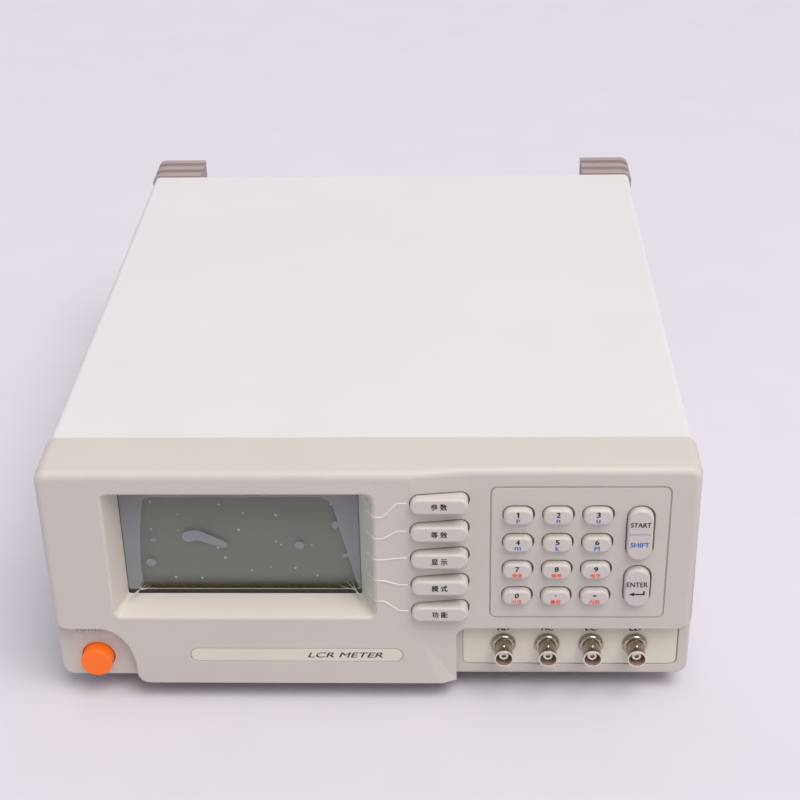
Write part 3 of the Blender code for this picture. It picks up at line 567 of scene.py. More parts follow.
def key_hole(node):
    (x, z), size, _ = key_facts(node)
    centre = (x + 0.00028, z + 0.00012)
    back = KEYPAD_WALL_BACK + 0.002
    wall = key_outline(centre, size, KEY_CLEARANCE)
    if node in FUNCTION_KEYS:
        return slab("tool_" + node, wall, DISPLAY_PLANE - 0.005, back)
    edge = mouth(KEYPAD_PLANE, 0.0004, 3)
    sections = [(depth, key_outline(centre, size, KEY_CLEARANCE + grow)) for depth, grow in edge]
    return loft("tool_" + node, sections + [(back, wall)])


def round_hole(name, plane, radius, x, z, edge):
    back = BASE_WALL_BACK + 0.004
    curve = [(radius + grow, depth) for depth, grow in mouth(plane, edge, 4)]
    return turned(name, [(0, plane - 0.001)] + curve + [(radius, back), (0, back)], x, z)


def groove():
    """The channel pressed round the keypad."""
    half, depth = 0.0005, 0.0011
    profile = [(half, -0.001), (half, 0.0001), (half * 0.55, depth * 0.8), (0, depth),
               (-half * 0.55, depth * 0.8), (-half, 0.0001), (-half, -0.001)]
    sections = [(KEYPAD_PLANE + deep, panel_box(GROOVE, grow, GROOVE_CORNER + grow, 10))
                for grow, deep in profile]
    return loft("tool_groove", sections, closed=True)


def nameplate_outline(grow):
    return panel_box(NAMEPLATE, grow, 0.0043 + grow, 12)


def terminal_plate_outline(grow):
    return panel_box(TERMINAL_PLATE, grow, 0.0035 + grow, 8)


def recess(name, outline, plane, depth, edge):
    sections = [(at, outline(grow)) for at, grow in mouth(plane, edge, 3)]
    sections.append((plane + depth, outline(0)))
    return loft(name, sections)


def base_layer():
    """The bezel's body behind the raised layer, set further back at the sockets than at the button."""
    outline = rounded_box(-BEZEL_HALF, BEZEL_HALF, BOTTOM, TOP, BEZEL_CORNER, 9)
    base = slab("tool_base", outline, SWITCH_PLANE, SEAM - GAP / 2)
    step = box("tool_socket_strip", (-0.12, SWITCH_PLANE - 0.01, 0), (0.2, SOCKET_PLANE, 0.2))
    boolean(base, [step])
    return rounded_rim(base, BASE_ROUND, 4)


def cavities():
    """The hollows behind the base layer and behind both halves of the raised layer."""
    half = BEZEL_HALF - WALL
    roof, floor, sill = TOP - 0.0035, BOTTOM + 0.004, TOP - 0.099
    inside, middle, toe, step = LAYER_HALF - 0.0045, 0.0195, -0.128, 0.044
    left = [(middle, roof), (-inside, roof), (-inside, sill), (toe, sill), (toe, floor), (middle, floor)]
    middle -= 0.001
    right = [(inside, roof), (middle, roof), (middle, floor), (step, floor), (step, sill), (inside, sill)]
    whole = rounded_box(-half, half, BOTTOM + WALL, TOP - WALL, 0.002, 3)
    return [
        slab("tool_base_cavity", whole, BASE_WALL_BACK, SEAM + 0.001),
        slab("tool_display_cavity", left, DISPLAY_PLANE + WALL, BASE_WALL_BACK + 0.001),
        slab("tool_keypad_cavity", right, KEYPAD_WALL_BACK, BASE_WALL_BACK + 0.001),
    ]


def socket_centre(index):
    return middle_of(f"bnc_socket_{index}")


def button_centre():
    """The power button's axis and its cap's radius."""
    low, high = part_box("power_button")
    return *middle_of("power_button"), (high.x - low.x) / 2 - BUTTON_FLANGE


def paint_light_on_window_walls(bezel):
    """Give the sloped walls round the display a paler copy of the bezel plastic: painted light on those
    walls.
    """
    left, right, top_drop, bottom_drop = WINDOW_OUTER
    for face in bezel.data.polygons:
        x, y, z = face.center
        in_window = left < x < right and top_drop < TOP - z < bottom_drop
        if in_window and DISPLAY_PLANE + WINDOW_ROUND / 2 < y < WINDOW_REAR:
            face.material_index = 1


def front_bezel():
    """The whole moulding: base layer, raised layer, window walls and every hole."""
    layer = faceted_slab("tool_layer", layer_outline(), EDGE_ROUND, 5)
    boolean(layer, [faceted_slab("tool_shoulder", shoulder_outline(), FRONT_ROUND, 10)], "INTERSECT")
    bezel = base_layer()
    boolean(bezel, [layer], "UNION")
    boolean(bezel, cavities())
    boolean(bezel, [window_walls()], "UNION")
    x, z, radius = button_centre()
    tools = [window_opening(), groove()]
    tools += [key_hole(node) for node in FUNCTION_KEYS + NUMBER_KEYS + ["start_shift_key", "enter_key"]]
    tools += [round_hole(f"tool_socket_{index}", SOCKET_PLANE, 0.0052, *socket_centre(index), 0.0002)
              for index in SOCKETS]
    tools.append(round_hole("tool_button_hole", SWITCH_PLANE, radius + 0.0006, x, z, 0.0004))
    tools.append(recess("tool_nameplate", lambda grow: nameplate_outline(GAP + grow), DISPLAY_PLANE,
                        0.0008, 0.0003))
    seat = recess("tool_terminal_plate", lambda grow: terminal_plate_outline(GAP * 1.5 + grow), SOCKET_PLANE,
                  0.0012, 0.0002)
    seat.data.transform(Matrix.Translation((0.00025, 0, 0)))
    boolean(bezel, tools + [seat])
    bezel.name = "bezel_shell"
    # The window walls get the paler copy of the bezel plastic: painted light.
    painted(smooth(bezel, 32, weighted=True), "bezel_plastic", "window_walls_painted_light")
    paint_light_on_window_walls(bezel)
    place(bezel, "bezel_plastic", nodes=["front_bezel"])


# ---- Lettering ----

def lettering(text, size, at, plane, bold=0, ink="black_ink", shear=0):
    """A printed word centred at (x, z); its size and its strokes' extra width are in millimetres."""
    curve = bpy.data.curves.new("lettering", "FONT")
    curve.body = text
    curve.resolution_u = 3
    curve.shear = shear
    curve.extrude = PRINT
    words = link("lettering", curve)
    mesh = evaluated_mesh(words)
    bpy.data.objects.remove(words, do_unlink=True)
    xs = [vertex.co.x for vertex in mesh.vertices]
    ys = [vertex.co.y for vertex in mesh.vertices]
    middle = Vector(((min(xs) + max(xs)) / 2, (min(ys) + max(ys)) / 2, 0))
    across = (size[0] - 2 * bold) * MM / (max(xs) - min(xs))
    up = (size[1] - bold) * MM / (max(ys) - min(ys))
    fitted = Matrix.Diagonal((across, up, 1, 1)) @ Matrix.Translation(-middle)
    upright = Matrix.Translation((at[0], plane, at[1])) @ Matrix.Rotation(math.pi / 2, 4, "X")
    mesh.transform(upright @ fitted)
    mesh.materials.clear()
    strokes = []
    for shift in (-1, 0, 1) if bold else (0,):
        copy = mesh.copy()
        copy.transform(Matrix.Translation((shift * bold * MM, shift * PRINT * 0.4, shift * bold * MM / 2)))
        strokes.append(painted(link("lettering", copy), ink))
    return merged("lettering", strokes)


def printed_shape(outline, plane, ink="black_ink"):
    return painted(slab("lettering", outline, plane - PRINT, plane + PRINT), ink)


# ---- Panel details ----

def sunk_plate(name, outline, front, back, edge):
    """A thin label with rounded front edges, set into its recess."""
    return loft(name, [(front, outline(-edge)), (front + edge * 0.3, outline(-edge * 0.7)),
                       (front + edge, outline(0)), (back, outline(0))])


def labels():
    """The nameplate, the socket label with its four holes, and the printing on the panel."""
    edge, hole = 0.0002, 0.0053
    low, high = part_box("nameplate")
    plate = sunk_plate("type_plate", nameplate_outline, low.y, high.y, edge)
    place(smooth(plate), "label_film", nodes=["nameplate"])
    title = lettering("LCR METER", (42, 3.6), (-0.015, TOP - 0.1196), low.y, 0.1, shear=0.28)
    place(merged("type_lettering", [title]), "label_film")

    low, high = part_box("terminal_plate")
    plate = sunk_plate("socket_plate", terminal_plate_outline, low.y, high.y, edge)
    front, back = low.y - 0.001, high.y + 0.001
    holes = [turned(f"tool_plate_hole_{index}", [(0, front), (hole, front), (hole, back), (0, back)],
                    *socket_centre(index)) for index in SOCKETS]
    boolean(plate, holes)
    place(smooth(plate), "label_film", nodes=["terminal_plate"])
    marks = [lettering(text, (6.8, 3), (socket_centre(index)[0], TOP - 0.1085), low.y, 0.26)
             for index, text in zip(SOCKETS, ("HD", "HC", "LC", "LD"))]
    place(merged("socket_lettering", marks), "label_film")

    # ON and OFF take the paler line plastic: a painted highlight.
    marks = [lettering(text, (width, height), (x, TOP - drop), SWITCH_PLANE, bold, ink)
             for text, width, height, x, drop, bold, ink in (
                 ("POWER", 15, 3, -0.1588, 0.1076, 0.08, "grey_ink"),
                 ("ON", 4.2, 2.6, -0.166, 0.1124, 0, "line_plastic_painted_highlight"),
                 ("OFF", 6.6, 2.6, -0.1492, 0.1124, 0, "line_plastic_painted_highlight"))]
    place(merged("switch_lettering", marks), "bezel_plastic")


def ridge(name, path, radius=0.00055):
    """A half-round line standing out of the panel along (x, depth, z) points."""
    curve = bpy.data.curves.new(name, "CURVE")
    curve.dimensions = "3D"
    curve.bevel_depth = radius
    curve.bevel_resolution = 3
    curve.use_fill_caps = True
    spline = curve.splines.new("POLY")
    spline.points.add(len(path) - 1)
    for point, at in zip(spline.points, path):
        point.co = (*at, 1)
    guide = link(name, curve)
    mesh = evaluated_mesh(guide)
    bpy.data.objects.remove(guide, do_unlink=True)
    return link(name, mesh)


def leader_lines():
    """Moulded lines from each function key to its place at the display's edge, in a paler plastic that is a
    painted highlight on their ridges.
    """
    display_middle, display_pitch, display_end = 0.0549, 0.01375, 0.0048
    sunk = 0.00015
    marks = []
    for row, node in enumerate(FUNCTION_KEYS):
        (key_x, key_z), size, _ = key_facts(node)
        key_edge = key_x - size[0] / 2 - 0.0018
        end_z = TOP - display_middle - (row - 2) * display_pitch
        flat = [(key_edge, key_z), (key_edge - 0.005, key_z), (key_edge - 0.0128, end_z),
                (display_end, end_z)]
        path = [(x, DISPLAY_PLANE + sunk, z) for x, z in flat]
        for depth in (0.0006, 0.0018, 0.008):
            edge = window_edges(DISPLAY_PLANE + depth)[1]
            lip = max(0, WINDOW_ROUND - depth) * 0.5
            path.append((edge + lip + sunk, DISPLAY_PLANE + depth, end_z))
        marks.append(ridge("line", path))
    lines = painted(merged("leader_lines", marks), "line_plastic_painted_highlight")
    place(smooth(lines), "bezel_plastic")


# ---- Display ----

def display():
    """The display module with its dark mask and its glass, and the clear window in front."""
    low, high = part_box("lcd_module")
    mask = painted(softened(box("display_frame", low, high), 0.0004), "display_mask")
    left, right, top_drop, bottom_drop = WINDOW_INNER
    outline = rounded_box(left + 0.0006, right - 0.0004, TOP - bottom_drop + 0.0036, TOP - top_drop + 0.002,
                          0.0005, 3)
    glass = painted(slab("display_glass", outline, low.y - 0.0001, low.y + 0.0008), "liquid_crystal")
    place(merged("display_panel", [mask, glass]), "liquid_crystal", nodes=["lcd_module"])
    pane = softened(box("display_pane", *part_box("display_window")), 0.0003)
    place(pane, "clear_plastic", nodes=["display_window"])


def film_outline():
    low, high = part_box("protective_film")
    return rounded_box(low.x, high.x, low.z + 0.0026, high.z, 0.0012, 4)


def stuck_area():
    """Where the film still holds: bowed at its left, slanted at its right, with a round corner."""
    left, right, shoulder, bow = -0.1274, -0.019, 0.006, 0.004
    top, bottom = TOP - 0.0248, TOP - 0.096
    outline = arc(right - 0.011, top - 0.009, 0.011, 0.009, 0, 90, 10)
    outline += arc(left + 0.008, top - shoulder, bow, shoulder, 90, 150, 6)
    start = top - shoulder
    for share in [step / 8 for step in range(1, 9)]:
        outline.append((left + bow * (1.5 * share - 1) ** 2, start - (start - bottom) * share))
    return outline + [(right + 0.014, bottom)]


def tapered_blob(spine):
    """The outline round a run of (x, z, radius) discs."""
    sides = [], []
    for index, (x, z, radius) in enumerate(spine):
        before, after = spine[max(index - 1, 0)], spine[min(index + 1, len(spine) - 1)]
        along = math.degrees(math.atan2(after[1] - before[1], after[0] - before[0]))
        if index == 0:
            start = arc(x, z, radius, radius, along + 90, along + 270, 10)
        elif index == len(spine) - 1:
            end = arc(x, z, radius, radius, along - 90, along + 90, 10)
        else:
            for side, turn in zip(sides, (-90, 90)):
                side.extend(arc(x, z, radius, radius, along + turn, along + turn, 1)[:1])
    return start + sides[0] + end + sides[1][::-1]


def air_bubbles(front, back):
    """Places inside the stuck area where air lifts the film: one long and a few round, in millimetres."""
    spine = [(-99.5, 50.8, 3.6), (-95.5, 49.6, 3.4), (-90.5, 51.5, 3), (-85.5, 54, 2.6),
             (-80.8, 56, 2.2)]
    discs = [(x * MM, TOP - drop * MM, radius * MM) for x, drop, radius in spine]
    pieces = [slab("bubble", tapered_blob(discs), front, back)]
    for x, drop, wide, tall in ((-121.7, 68, 2.7, 2.4), (-39, 56.4, 2.5, 2.3), (-18.7, 43, 1.9, 2.4),
                                (-13.6, 63.4, 1.6, 1.4), (-119, 53.1, 1.9, 0.9)):
        outline = arc(x * MM, TOP - drop * MM, wide * MM, tall * MM, 0, 345, 23)
        pieces.append(slab("bubble", outline, front, back))
    return pieces


def dust_specks(front, back):
    """Pale dust specks under the film, scattered over a grid of places."""
    left, top_drop, columns, rows = -0.122, 0.026, 7, 3
    pitch_x, pitch_z = 0.0145, 0.0185
    specks = []
    chance = random.Random(4)
    for column in range(columns):
        for row in range(rows):
            x = left + (column + chance.random()) * pitch_x
            z = TOP - top_drop - (row + chance.random()) * pitch_z
            radius = chance.uniform(0.00036, 0.00074)
            specks.append(slab("speck", arc(x, z, radius, radius * 0.8, 0, 324, 9), front, back))
    return specks


def protective_film():
    """The shipping film over the display: lifted round its sides, with air bubbles and curled corners, a
    painted reflection on the lifted parts and a band of painted shade along its foot.
    """
    low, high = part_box("protective_film")
    film = slab("film_sheet", film_outline(), low.y + 0.00005, high.y - 0.00005)
    place(painted(film, "clear_film"), "clear_plastic", nodes=["protective_film"])

    front, back = low.y - 0.00012, low.y - 0.00002
    # Where the film is lifted, and over the bubbles, a pale tint stands for the reflection off the air under
    # it: painted reflection.
    lifted = slab("film_lifted", film_outline(), front, back)
    boolean(lifted, [slab("tool_stuck", stuck_area(), front - 0.001, back + 0.001)])
    lifted = merged("film_lifted", [lifted] + air_bubbles(front, back))
    place(painted(lifted, "lifted_film_painted_reflection"), "clear_plastic")
    place(painted(merged("film_specks", dust_specks(front, back)), "dust"), "clear_plastic")

    edge = TOP - 0.0853
    # Three stepped strips of faint brownish tint along the display's foot: painted shade.
    glue = []
    for order, height in enumerate((0.0046, 0.0032, 0.0017)):
        near = front - 0.00006 * (order + 1)
        outline = rounded_box(-0.129, -0.0072, edge, edge + height, 0.001, 4)
        glue.append(slab("glue", outline, near, near + 0.00004))
    place(painted(merged("film_painted_shade_band", glue), "film_glue"), "clear_plastic")
    outline = rounded_box(-0.1285, -0.0078, edge - 0.0004, edge, 0.0002, 3)
    lip = slab("film_lower_edge", outline, front - 0.0004, front - 0.0002)
    place(painted(lip, "film_lip"), "clear_plastic")
    film_creases(edge, front)
    film_side()


def crease(root, reach):
    """A thin sliver of film from its root to a point; one that hangs down reaches forwards as well."""
    half_width, thickness = 0.00022, 0.0001
    across = Vector((-reach.z, 0, reach.x)).normalized() * half_width
    if reach.z < 0:
        reach.y = -0.0065
    corners = [root - across, root + across, root + reach]
    return solid("crease", [corners, [corner + Vector((0, thickness, 0)) for corner in corners]])


def film_creases(edge, front):
    """Creases that fan out, at headings in degrees, where the film's lower corners curl forwards; their pale
    colour is a painted highlight.
    """
    creases = []
    for x, side, turns in ((-0.13, 1, (12, 24, 40, 62, 200, 216, 238)),
                           (-0.0085, -1, (20, 48, 70, 205, 232, 250))):
        for order, turn in enumerate(turns):
            length = 0.0095 - 0.0011 * (order % 4)
            heading = math.radians(turn)
            reach = Vector((side * math.cos(heading), 0, math.sin(heading))) * length
            creases.append(crease(Vector((x, front - 0.0012, edge - 0.0008)), reach))
    place(painted(merged("film_creases", creases), "crease_painted_highlight"), "clear_plastic")


def film_side():
    """The film's right side, which curls forwards over the sloped wall."""
    top, bottom, off_wall, thickness = TOP - 0.02, TOP - 0.0885, 0.0003, 0.00015
    sections = []
    front = DISPLAY_PLANE
    for depth in (WINDOW_REAR - 0.0006, front + 0.012, front + 0.005, front + 0.0012):
        wall = window_edges(depth)[1] - off_wall
        sections.append((depth, rounded_box(wall - thickness, wall, bottom, top, 0.00005, 1)))
    place(painted(loft("film_side", sections), "curled_film"), "clear_plastic")


# ---- Keys ----

def key_cap(node):
    """A moulded cap with soft front edges, its flange behind the panel and its stem."""
    centre, size, front = key_facts(node)
    _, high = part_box(node)
    draft, stem = 0.0002, -0.003
    flange_front = KEYPAD_WALL_BACK + GAP
    flange_back = flange_front + 0.001
    rings = [(high.y, stem), (flange_back, stem), (flange_back, KEY_FLANGE), (flange_front, KEY_FLANGE),
             (flange_front, 0)]
    rings += [(front + KEY_ROUND * (1 - sine), -draft - KEY_ROUND * (1 - cosine))
              for sine, cosine in quarter(7)]
    cap = loft(node + "_cap", [(depth, key_outline(centre, size, grow)) for depth, grow in rings])
    place(smooth(cap, 50, weighted=True), "key_plastic", node, [node])
    return centre, front


def legend(node, marks):
    """Join a key's marks into one piece that moves with the key."""
    place(merged(node + "_legend", marks), "key_plastic", node)


def return_arrow(x, z, plane):
    """A bent arrow that points left."""
    tip, heel, bar = x - 0.0043, x + 0.0043, 0.00048
    stem = [(tip + 0.0024, z - bar), (heel, z - bar), (heel, z + 0.0022), (heel - 2 * bar, z + 0.0022),
            (heel - 2 * bar, z + bar), (tip + 0.0024, z + bar)]
    point = [(tip, z), (tip + 0.0028, z - 0.0013), (tip + 0.0028, z + 0.0013)]
    return [printed_shape(stem, plane), printed_shape(point, plane)]


def digit_marks(digit, x, z, plane):
    """A digit or sign in the upper half of a key; the narrow 1 gets its flag."""
    size = {".": (1, 0.9), "-": (2, 0.9), "1": (1, 3.3)}.get(digit, (2.4, 3.3))
    marks = [lettering(digit, size, (x, z + 0.0019), plane, 0.2)]
    if digit == "1":
        flag = [(x - 0.0004, z + 0.0035), (x - 0.0012, z + 0.003), (x - 0.0012, z + 0.0025),
                (x - 0.0004, z + 0.0029)]
        marks.append(printed_shape(flag, plane))
    return marks


def unit_mark(text, x, z, plane):
    """The blue unit letter or the red function word in a key's lower half."""
    if len(text) > 1:
        return lettering(text, (5.7, 2.6), (x, z - 0.0022), plane, 0.1, "red_ink")
    size = {"p": (2.1, 2.6), "k": (2.1, 2.9), "M": (2.9, 2.6), "m": (3.4, 2.1)}.get(text, (2.2, 2.1))
    return lettering(text, size, (x, z - 0.002), plane, 0.12, "blue_ink")


def keys():
    """Every key's cap and its printed legend."""
    for node, words in zip(FUNCTION_KEYS, ("参 数", "等 效", "显 示", "模 式", "功 能")):
        (x, z), front = key_cap(node)
        legend(node, [lettering(words, (8.8, 4.1), (x, z + 0.0003), front, 0.17)])
    second = ["分选", *"pnumkM", "速度", "频率", "电平", "量程", "内阻"]
    for node, digit, unit in zip(NUMBER_KEYS, "0123456789.-", second):
        (x, z), front = key_cap(node)
        legend(node, digit_marks(digit, x, z, front) + [unit_mark(unit, x, z, front)])
    (x, z), front = key_cap("start_shift_key")
    rule = rounded_box(x - 0.0058, x + 0.0058, z + 0.0006, z + 0.001, 0.0001, 2)
    legend("start_shift_key", [
        lettering("START", (11, 3.1), (x, z + 0.0069), front, 0.12),
        printed_shape(rule, front, "grey_ink"),
        lettering("SHIFT", (10.2, 3.1), (x, z - 0.0059), front, 0.12, "blue_ink"),
    ])
    (x, z), front = key_cap("enter_key")
    word = lettering("ENTER", (11.5, 3.2), (x, z + 0.0028), front, 0.1)
    legend("enter_key", [word] + return_arrow(x, z - 0.0036, front))


# ---- Power button and measuring sockets ----

def power_button():
    """A cap with a softly rounded edge and fine turned rings on its face."""
    x, z, radius = button_centre()
    low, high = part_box("power_button")
    edge, ring, depth, stem = 0.0009, 0.0006, 0.00005, 0.0035
    flange, rim = BASE_WALL_BACK + GAP, radius + BUTTON_FLANGE
    profile = [(0, low.y + depth)]
    distance = ring / 2
    while distance < radius - edge - ring:
        profile += [(distance, low.y), (distance + ring / 2, low.y + depth)]
        distance += ring
    profile += [(radius - edge * (1 - sine), low.y + edge * (1 - cosine)) for sine, cosine in quarter(6)]
    profile += [(radius, flange), (rim, flange), (rim, flange + 0.0012), (stem, flange + 0.0012),
                (stem, high.y), (0, high.y)]
    button = turned("power_button_cap", profile, x, z, 72)
    place(smooth(button, 30), "button_plastic", "power_button", ["power_button"])


def bayonet_lug(x, z, depth, side):
    """A stub on a socket's barrel, below the axis for side 1 and above it for side -1."""
    profile = offsets(0, [(0, -1.3), (0.6, -1.2), (1.1, -0.8), (1.2, -0.3), (1.2, 1), (0, 1)])
    lug = turned("lug", profile, 0, 0, 20)
    lug.data.transform(Matrix.Rotation(side * math.pi / 2, 4, "X"))
    lug.data.transform(Matrix.Translation((x, depth, z - side * 0.005)))
    return lug


def socket_shell(index):
    """A nickel barrel with a painted highlight on its mouth's rim, a brown bore in painted light, a stepped
    flange and two lugs.
    """
    x, z, tip, end = span_of(f"bnc_socket_{index}")
    flange = SOCKET_PLANE - 0.0021
    barrel = offsets(tip, [(5.2, 1.1), (5.2, 1.6), (5, 1.9)])
    barrel += offsets(flange, [(5, -1.6), (4.6, -1.3), (4.6, -0.6), (5.6, -0.6), (6.2, -0.3), (6.6, 0.3),
                               (6.9, 0.8), (7, 1.4), (7, 2), (4.7, 2)])
    barrel += [(0.0047, end), (0, end)]
    outside = merged("outside", [turned("shell", barrel, x, z, 56)]
                     + [bayonet_lug(x, z, tip + 0.0052, side) for side in (-1, 1)])
    # The bore takes the duller, browner copy of the nickel: painted light.
    lining = offsets(tip, [(4.5, 0.4), (4.4, 3)]) + offsets(flange, [(4.3, -0.4), (0, -0.4)])
    inside = turned("lining", lining, x, z, 56)
    inside.data.flip_normals()
    # The mouth's rim takes the bright copy of the nickel: a painted highlight.
    rim = turned("rim", offsets(tip, [(4.5, 0.4), (4.6, 0), (5.1, 0), (5.2, 0.2), (5.2, 1.1)]), x, z, 56)
    shell = merged(f"socket_shell_{index}", [painted(outside, "nickel"), painted(inside, "nickel_bore_painted_light"),
                                             painted(rim, "nickel_rim_painted_highlight")])
    place(smooth(shell, 35), "nickel", nodes=[f"bnc_socket_{index}"])


def socket_core(index):
    """A white insulator whose nose has a well, lined in black as painted shade, with a gilt contact in it."""
    x, z, tip, _ = span_of(f"bnc_socket_{index}")
    low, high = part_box(f"bnc_insulator_{index}")
    nose = tip + 0.003
    body = [(0, high.y), (0.0038, high.y)] + offsets(low.y, [(3.8, 5), (2.7, 4.5)])
    body += offsets(nose, [(2.7, 0.3), (2.4, 0), (1.2, 0)])
    # The well's black lining is painted shade inside the hole.
    well = offsets(nose, [(1.2, 0), (1.1, 1.6), (0, 1.6)])
    contact = offsets(nose, [(0, 1.3), (0.4, 1.2), (0.4, 0.9), (0.5, 0.7), (0.7, 0.7), (0.8, 0.9),
                             (0.8, 1.6)])
    core = merged(f"socket_insulator_{index}", [
        painted(turned("insulator", body, x, z, 40), "white_insulator"),
        painted(turned("well", well, x, z, 40), "black_plastic"),
        painted(turned("contact", contact, x, z, 24), "gilt"),
    ])
    place(smooth(core, 35), "white_insulator", nodes=[f"bnc_insulator_{index}"])


# ---- Case ----

def top_cover():
    """The folded steel cover, with soft bends along its top and a small burr-free edge all round."""
    half, corner, thickness, foot = COVER_HIGH.x, 0.004, 0.0012, COVER_LOW.z
    outer = [(-half, foot)] + top_corners(half, TOP, corner, 12) + [(half, foot)]
    inside, bend = half - thickness, corner - thickness
    inner = [(-inside, foot)] + top_corners(inside, TOP - thickness, bend, 12) + [(inside, foot)]
    cover = slab("cover_shell", outer + inner[::-1], COVER_LOW.y, COVER_HIGH.y)
    softened(cover, 0.0003, 2, 50)
    place(smooth(cover, 35, weighted=True), "painted_steel", nodes=["top_cover"])


def screw_head(name, x, z, face, radius=0.0032, height=0.0018):
    """A domed screw head with a cross recess, facing +Y."""
    profile = [(0, face), (radius, face)]
    profile += [(radius * sine, face + height * (0.55 + 0.45 * cosine))
                for sine, cosine in quarter(6, 1)[::-1]]
    head = turned(name, profile + [(0, face + height)], x, z, 32)
    bottom, top = face + height * 0.35, face + height + 0.001
    slots = [box("tool_slot", (x - a, bottom, z - b), (x + a, top, z + b))
             for a, b in ((radius * 0.62, radius * 0.14), (radius * 0.14, radius * 0.62))]
    boolean(head, slots)
    place(smooth(head, 35), "zinc_steel")


def rear_foot(node, side, level):
    """A ribbed corner foot with a screw in a round well; side and level are 1 or -1."""
    corner, groove_depth = 0.006, 0.0024
    low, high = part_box(node)
    outer, inner = (high.x, low.x) if side > 0 else (low.x, high.x)
    edge, base = (high.z, low.z) if level > 0 else (low.z, high.z)
    stops = [0, 0.0025, 0.0085, 0.0155, 0.0215, 0.0285, high.y - low.y]
    sections = []
    for order, ends in enumerate(zip(stops, stops[1:])):
        inset = 0 if order % 2 else groove_depth
        x, z = outer - side * inset, edge - level * inset
        outline = [(inner, base), (x, base)]
        outline += [(x - side * corner * (1 - cosine), z - level * corner * (1 - sine))
                    for sine, cosine in quarter(10)]
        sections += [(low.y + end, outline + [(inner, z)]) for end in ends]
    foot = softened(loft(node + "_block", sections), 0.0005, 2, 50)
    x, z = (outer + inner) / 2, (edge + base) / 2
    well = offsets(high.y, [(0, -10), (4.5, -10), (4.8, -0.5), (5.5, 0.5), (0, 0.5)])
    boolean(foot, [turned("tool_well", well, x, z, 32)])
    place(smooth(foot, 35, weighted=True), "foot_plastic", nodes=[node])
    screw_head(node + "_screw", x, z, high.y - 0.0102)


def rear_panel():
    """The rear plate: two banks of round-ended vent slots and an opening for each connector."""
    low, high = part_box("rear_panel")
    plate = slab("rear_plate", rounded_box(low.x, high.x, low.z, high.z, 0.0024, 5), low.y, high.y)
    outlines = []
    slot_half, slot_pitch, slots = 0.0016, 0.008, 8
    for bank in (-0.06, 0.06):
        for index in range(slots):
            x = bank + (index - (slots - 1) / 2) * slot_pitch
            outlines.append(panel_box((x - slot_half, x + slot_half, 0.026, 0.056), 0, slot_half, 5))
    for node, *sizes in (("power_inlet", 0.014, 0.01, 0.001), ("interface_port", 0.01, 0.0057, 0.001),
                         ("fuse_holder", 0.0063, 0.0063, 0.0063), ("earth_terminal", 0.0033, 0.0033, 0.0033)):
        outlines.append(middle_box(*middle_of(node), *sizes))
    tools = [slab("tool_rear", outline, low.y - 0.001, high.y + 0.001) for outline in outlines]
    boolean(plate, [merged("tool_rear", tools)])
    softened(plate, 0.0002, 2, 50)
    place(smooth(plate, 35, weighted=True), "painted_steel", nodes=["rear_panel"])


def power_inlet():
    """A mains inlet: a flange with soft edges, a deep recess with two cut corners, and three blades."""
    x, z, end, face = span_of("power_inlet")
    flange_back = face - 0.002
    steps = ((flange_back, 0), (face - 0.0006, 0), (face - 0.0002, 0.0002), (face, 0.0006))
    inlet = loft("inlet_body", [(depth, middle_box(x, z, 0.024 - inset, 0.0115 - inset, 0.003))
                                for depth, inset in steps])
    shell = box("tool_shell", (x - 0.0135, end, z - 0.0095), (x + 0.0135, flange_back + 0.0005, z + 0.0095))
    boolean(inlet, [shell], "UNION")
    width, height, cut = 0.012, 0.008, 0.0045
    outline = [(x - width, z - height), (x + width, z - height), (x + width, z + height - cut),
               (x + width - cut, z + height), (x - width + cut, z + height), (x - width, z + height - cut)]
    boolean(inlet, [slab("tool_recess", outline, face - 0.019, face + 0.001)])
    softened(inlet, 0.0003, 2, 40)
    blades = []
    half_width, half_height = 0.001, 0.002
    for across, up in ((-0.007, -0.002), (0, 0.002), (0.007, -0.002)):
        blade = box("blade", (x + across - half_width, face - 0.0195, z + up - half_height),
                    (x + across + half_width, face - 0.0055, z + up + half_height))
        blades.append(painted(softened(blade, 0.0005, 3), "nickel"))
    body = merged("inlet_shell", [painted(inlet, "black_plastic")] + blades)
    place(smooth(body, 35, weighted=True), "black_plastic", nodes=["power_inlet"])


def fluted(name, node, base, flutes, table):
    """A knob with shallow grip flutes, from (radius, depth, flute depth) sections in millimetres."""
    x, z = middle_of(node)
    steps = flutes * 6
    sections = []
    for radius, run, flute in table:
        outline = []
        for step in range(steps):
            angle = math.tau * step / steps
            reach = (radius - flute * (1 - math.cos(flutes * angle)) / 2) * MM
            outline.append((x + reach * math.cos(angle), z + reach * math.sin(angle)))
        sections.append((base + run * MM, outline))
    return loft(name, sections)


def fuse_holder():
    """A round fuse holder with a fluted cap that has a screwdriver slot."""
    x, z, end, tip = span_of("fuse_holder")
    face = tip - 0.01
    profile = [(0, end), (0.006, end)]
    profile += offsets(face, [(6, 0), (8.5, 0), (8.5, 1.4), (8, 2), (0, 2)])
    ring = turned("ring", profile, x, z, 56)
    flute = 0.18
    cap = fluted("cap", "fuse_holder", face, 20, [(6.2, 1.9, flute), (5.9, 8.8, flute), (5.5, 9.6, flute),
                                                  (4.9, 10, flute)])
    slot = box("tool_slot", (x - 0.004, tip - 0.0012, z - 0.0005), (x + 0.004, tip + 0.001, z + 0.0005))
    boolean(cap, [slot])
    place(smooth(merged("fuse_cap", [ring, cap]), 35), "black_plastic", nodes=["fuse_holder"])


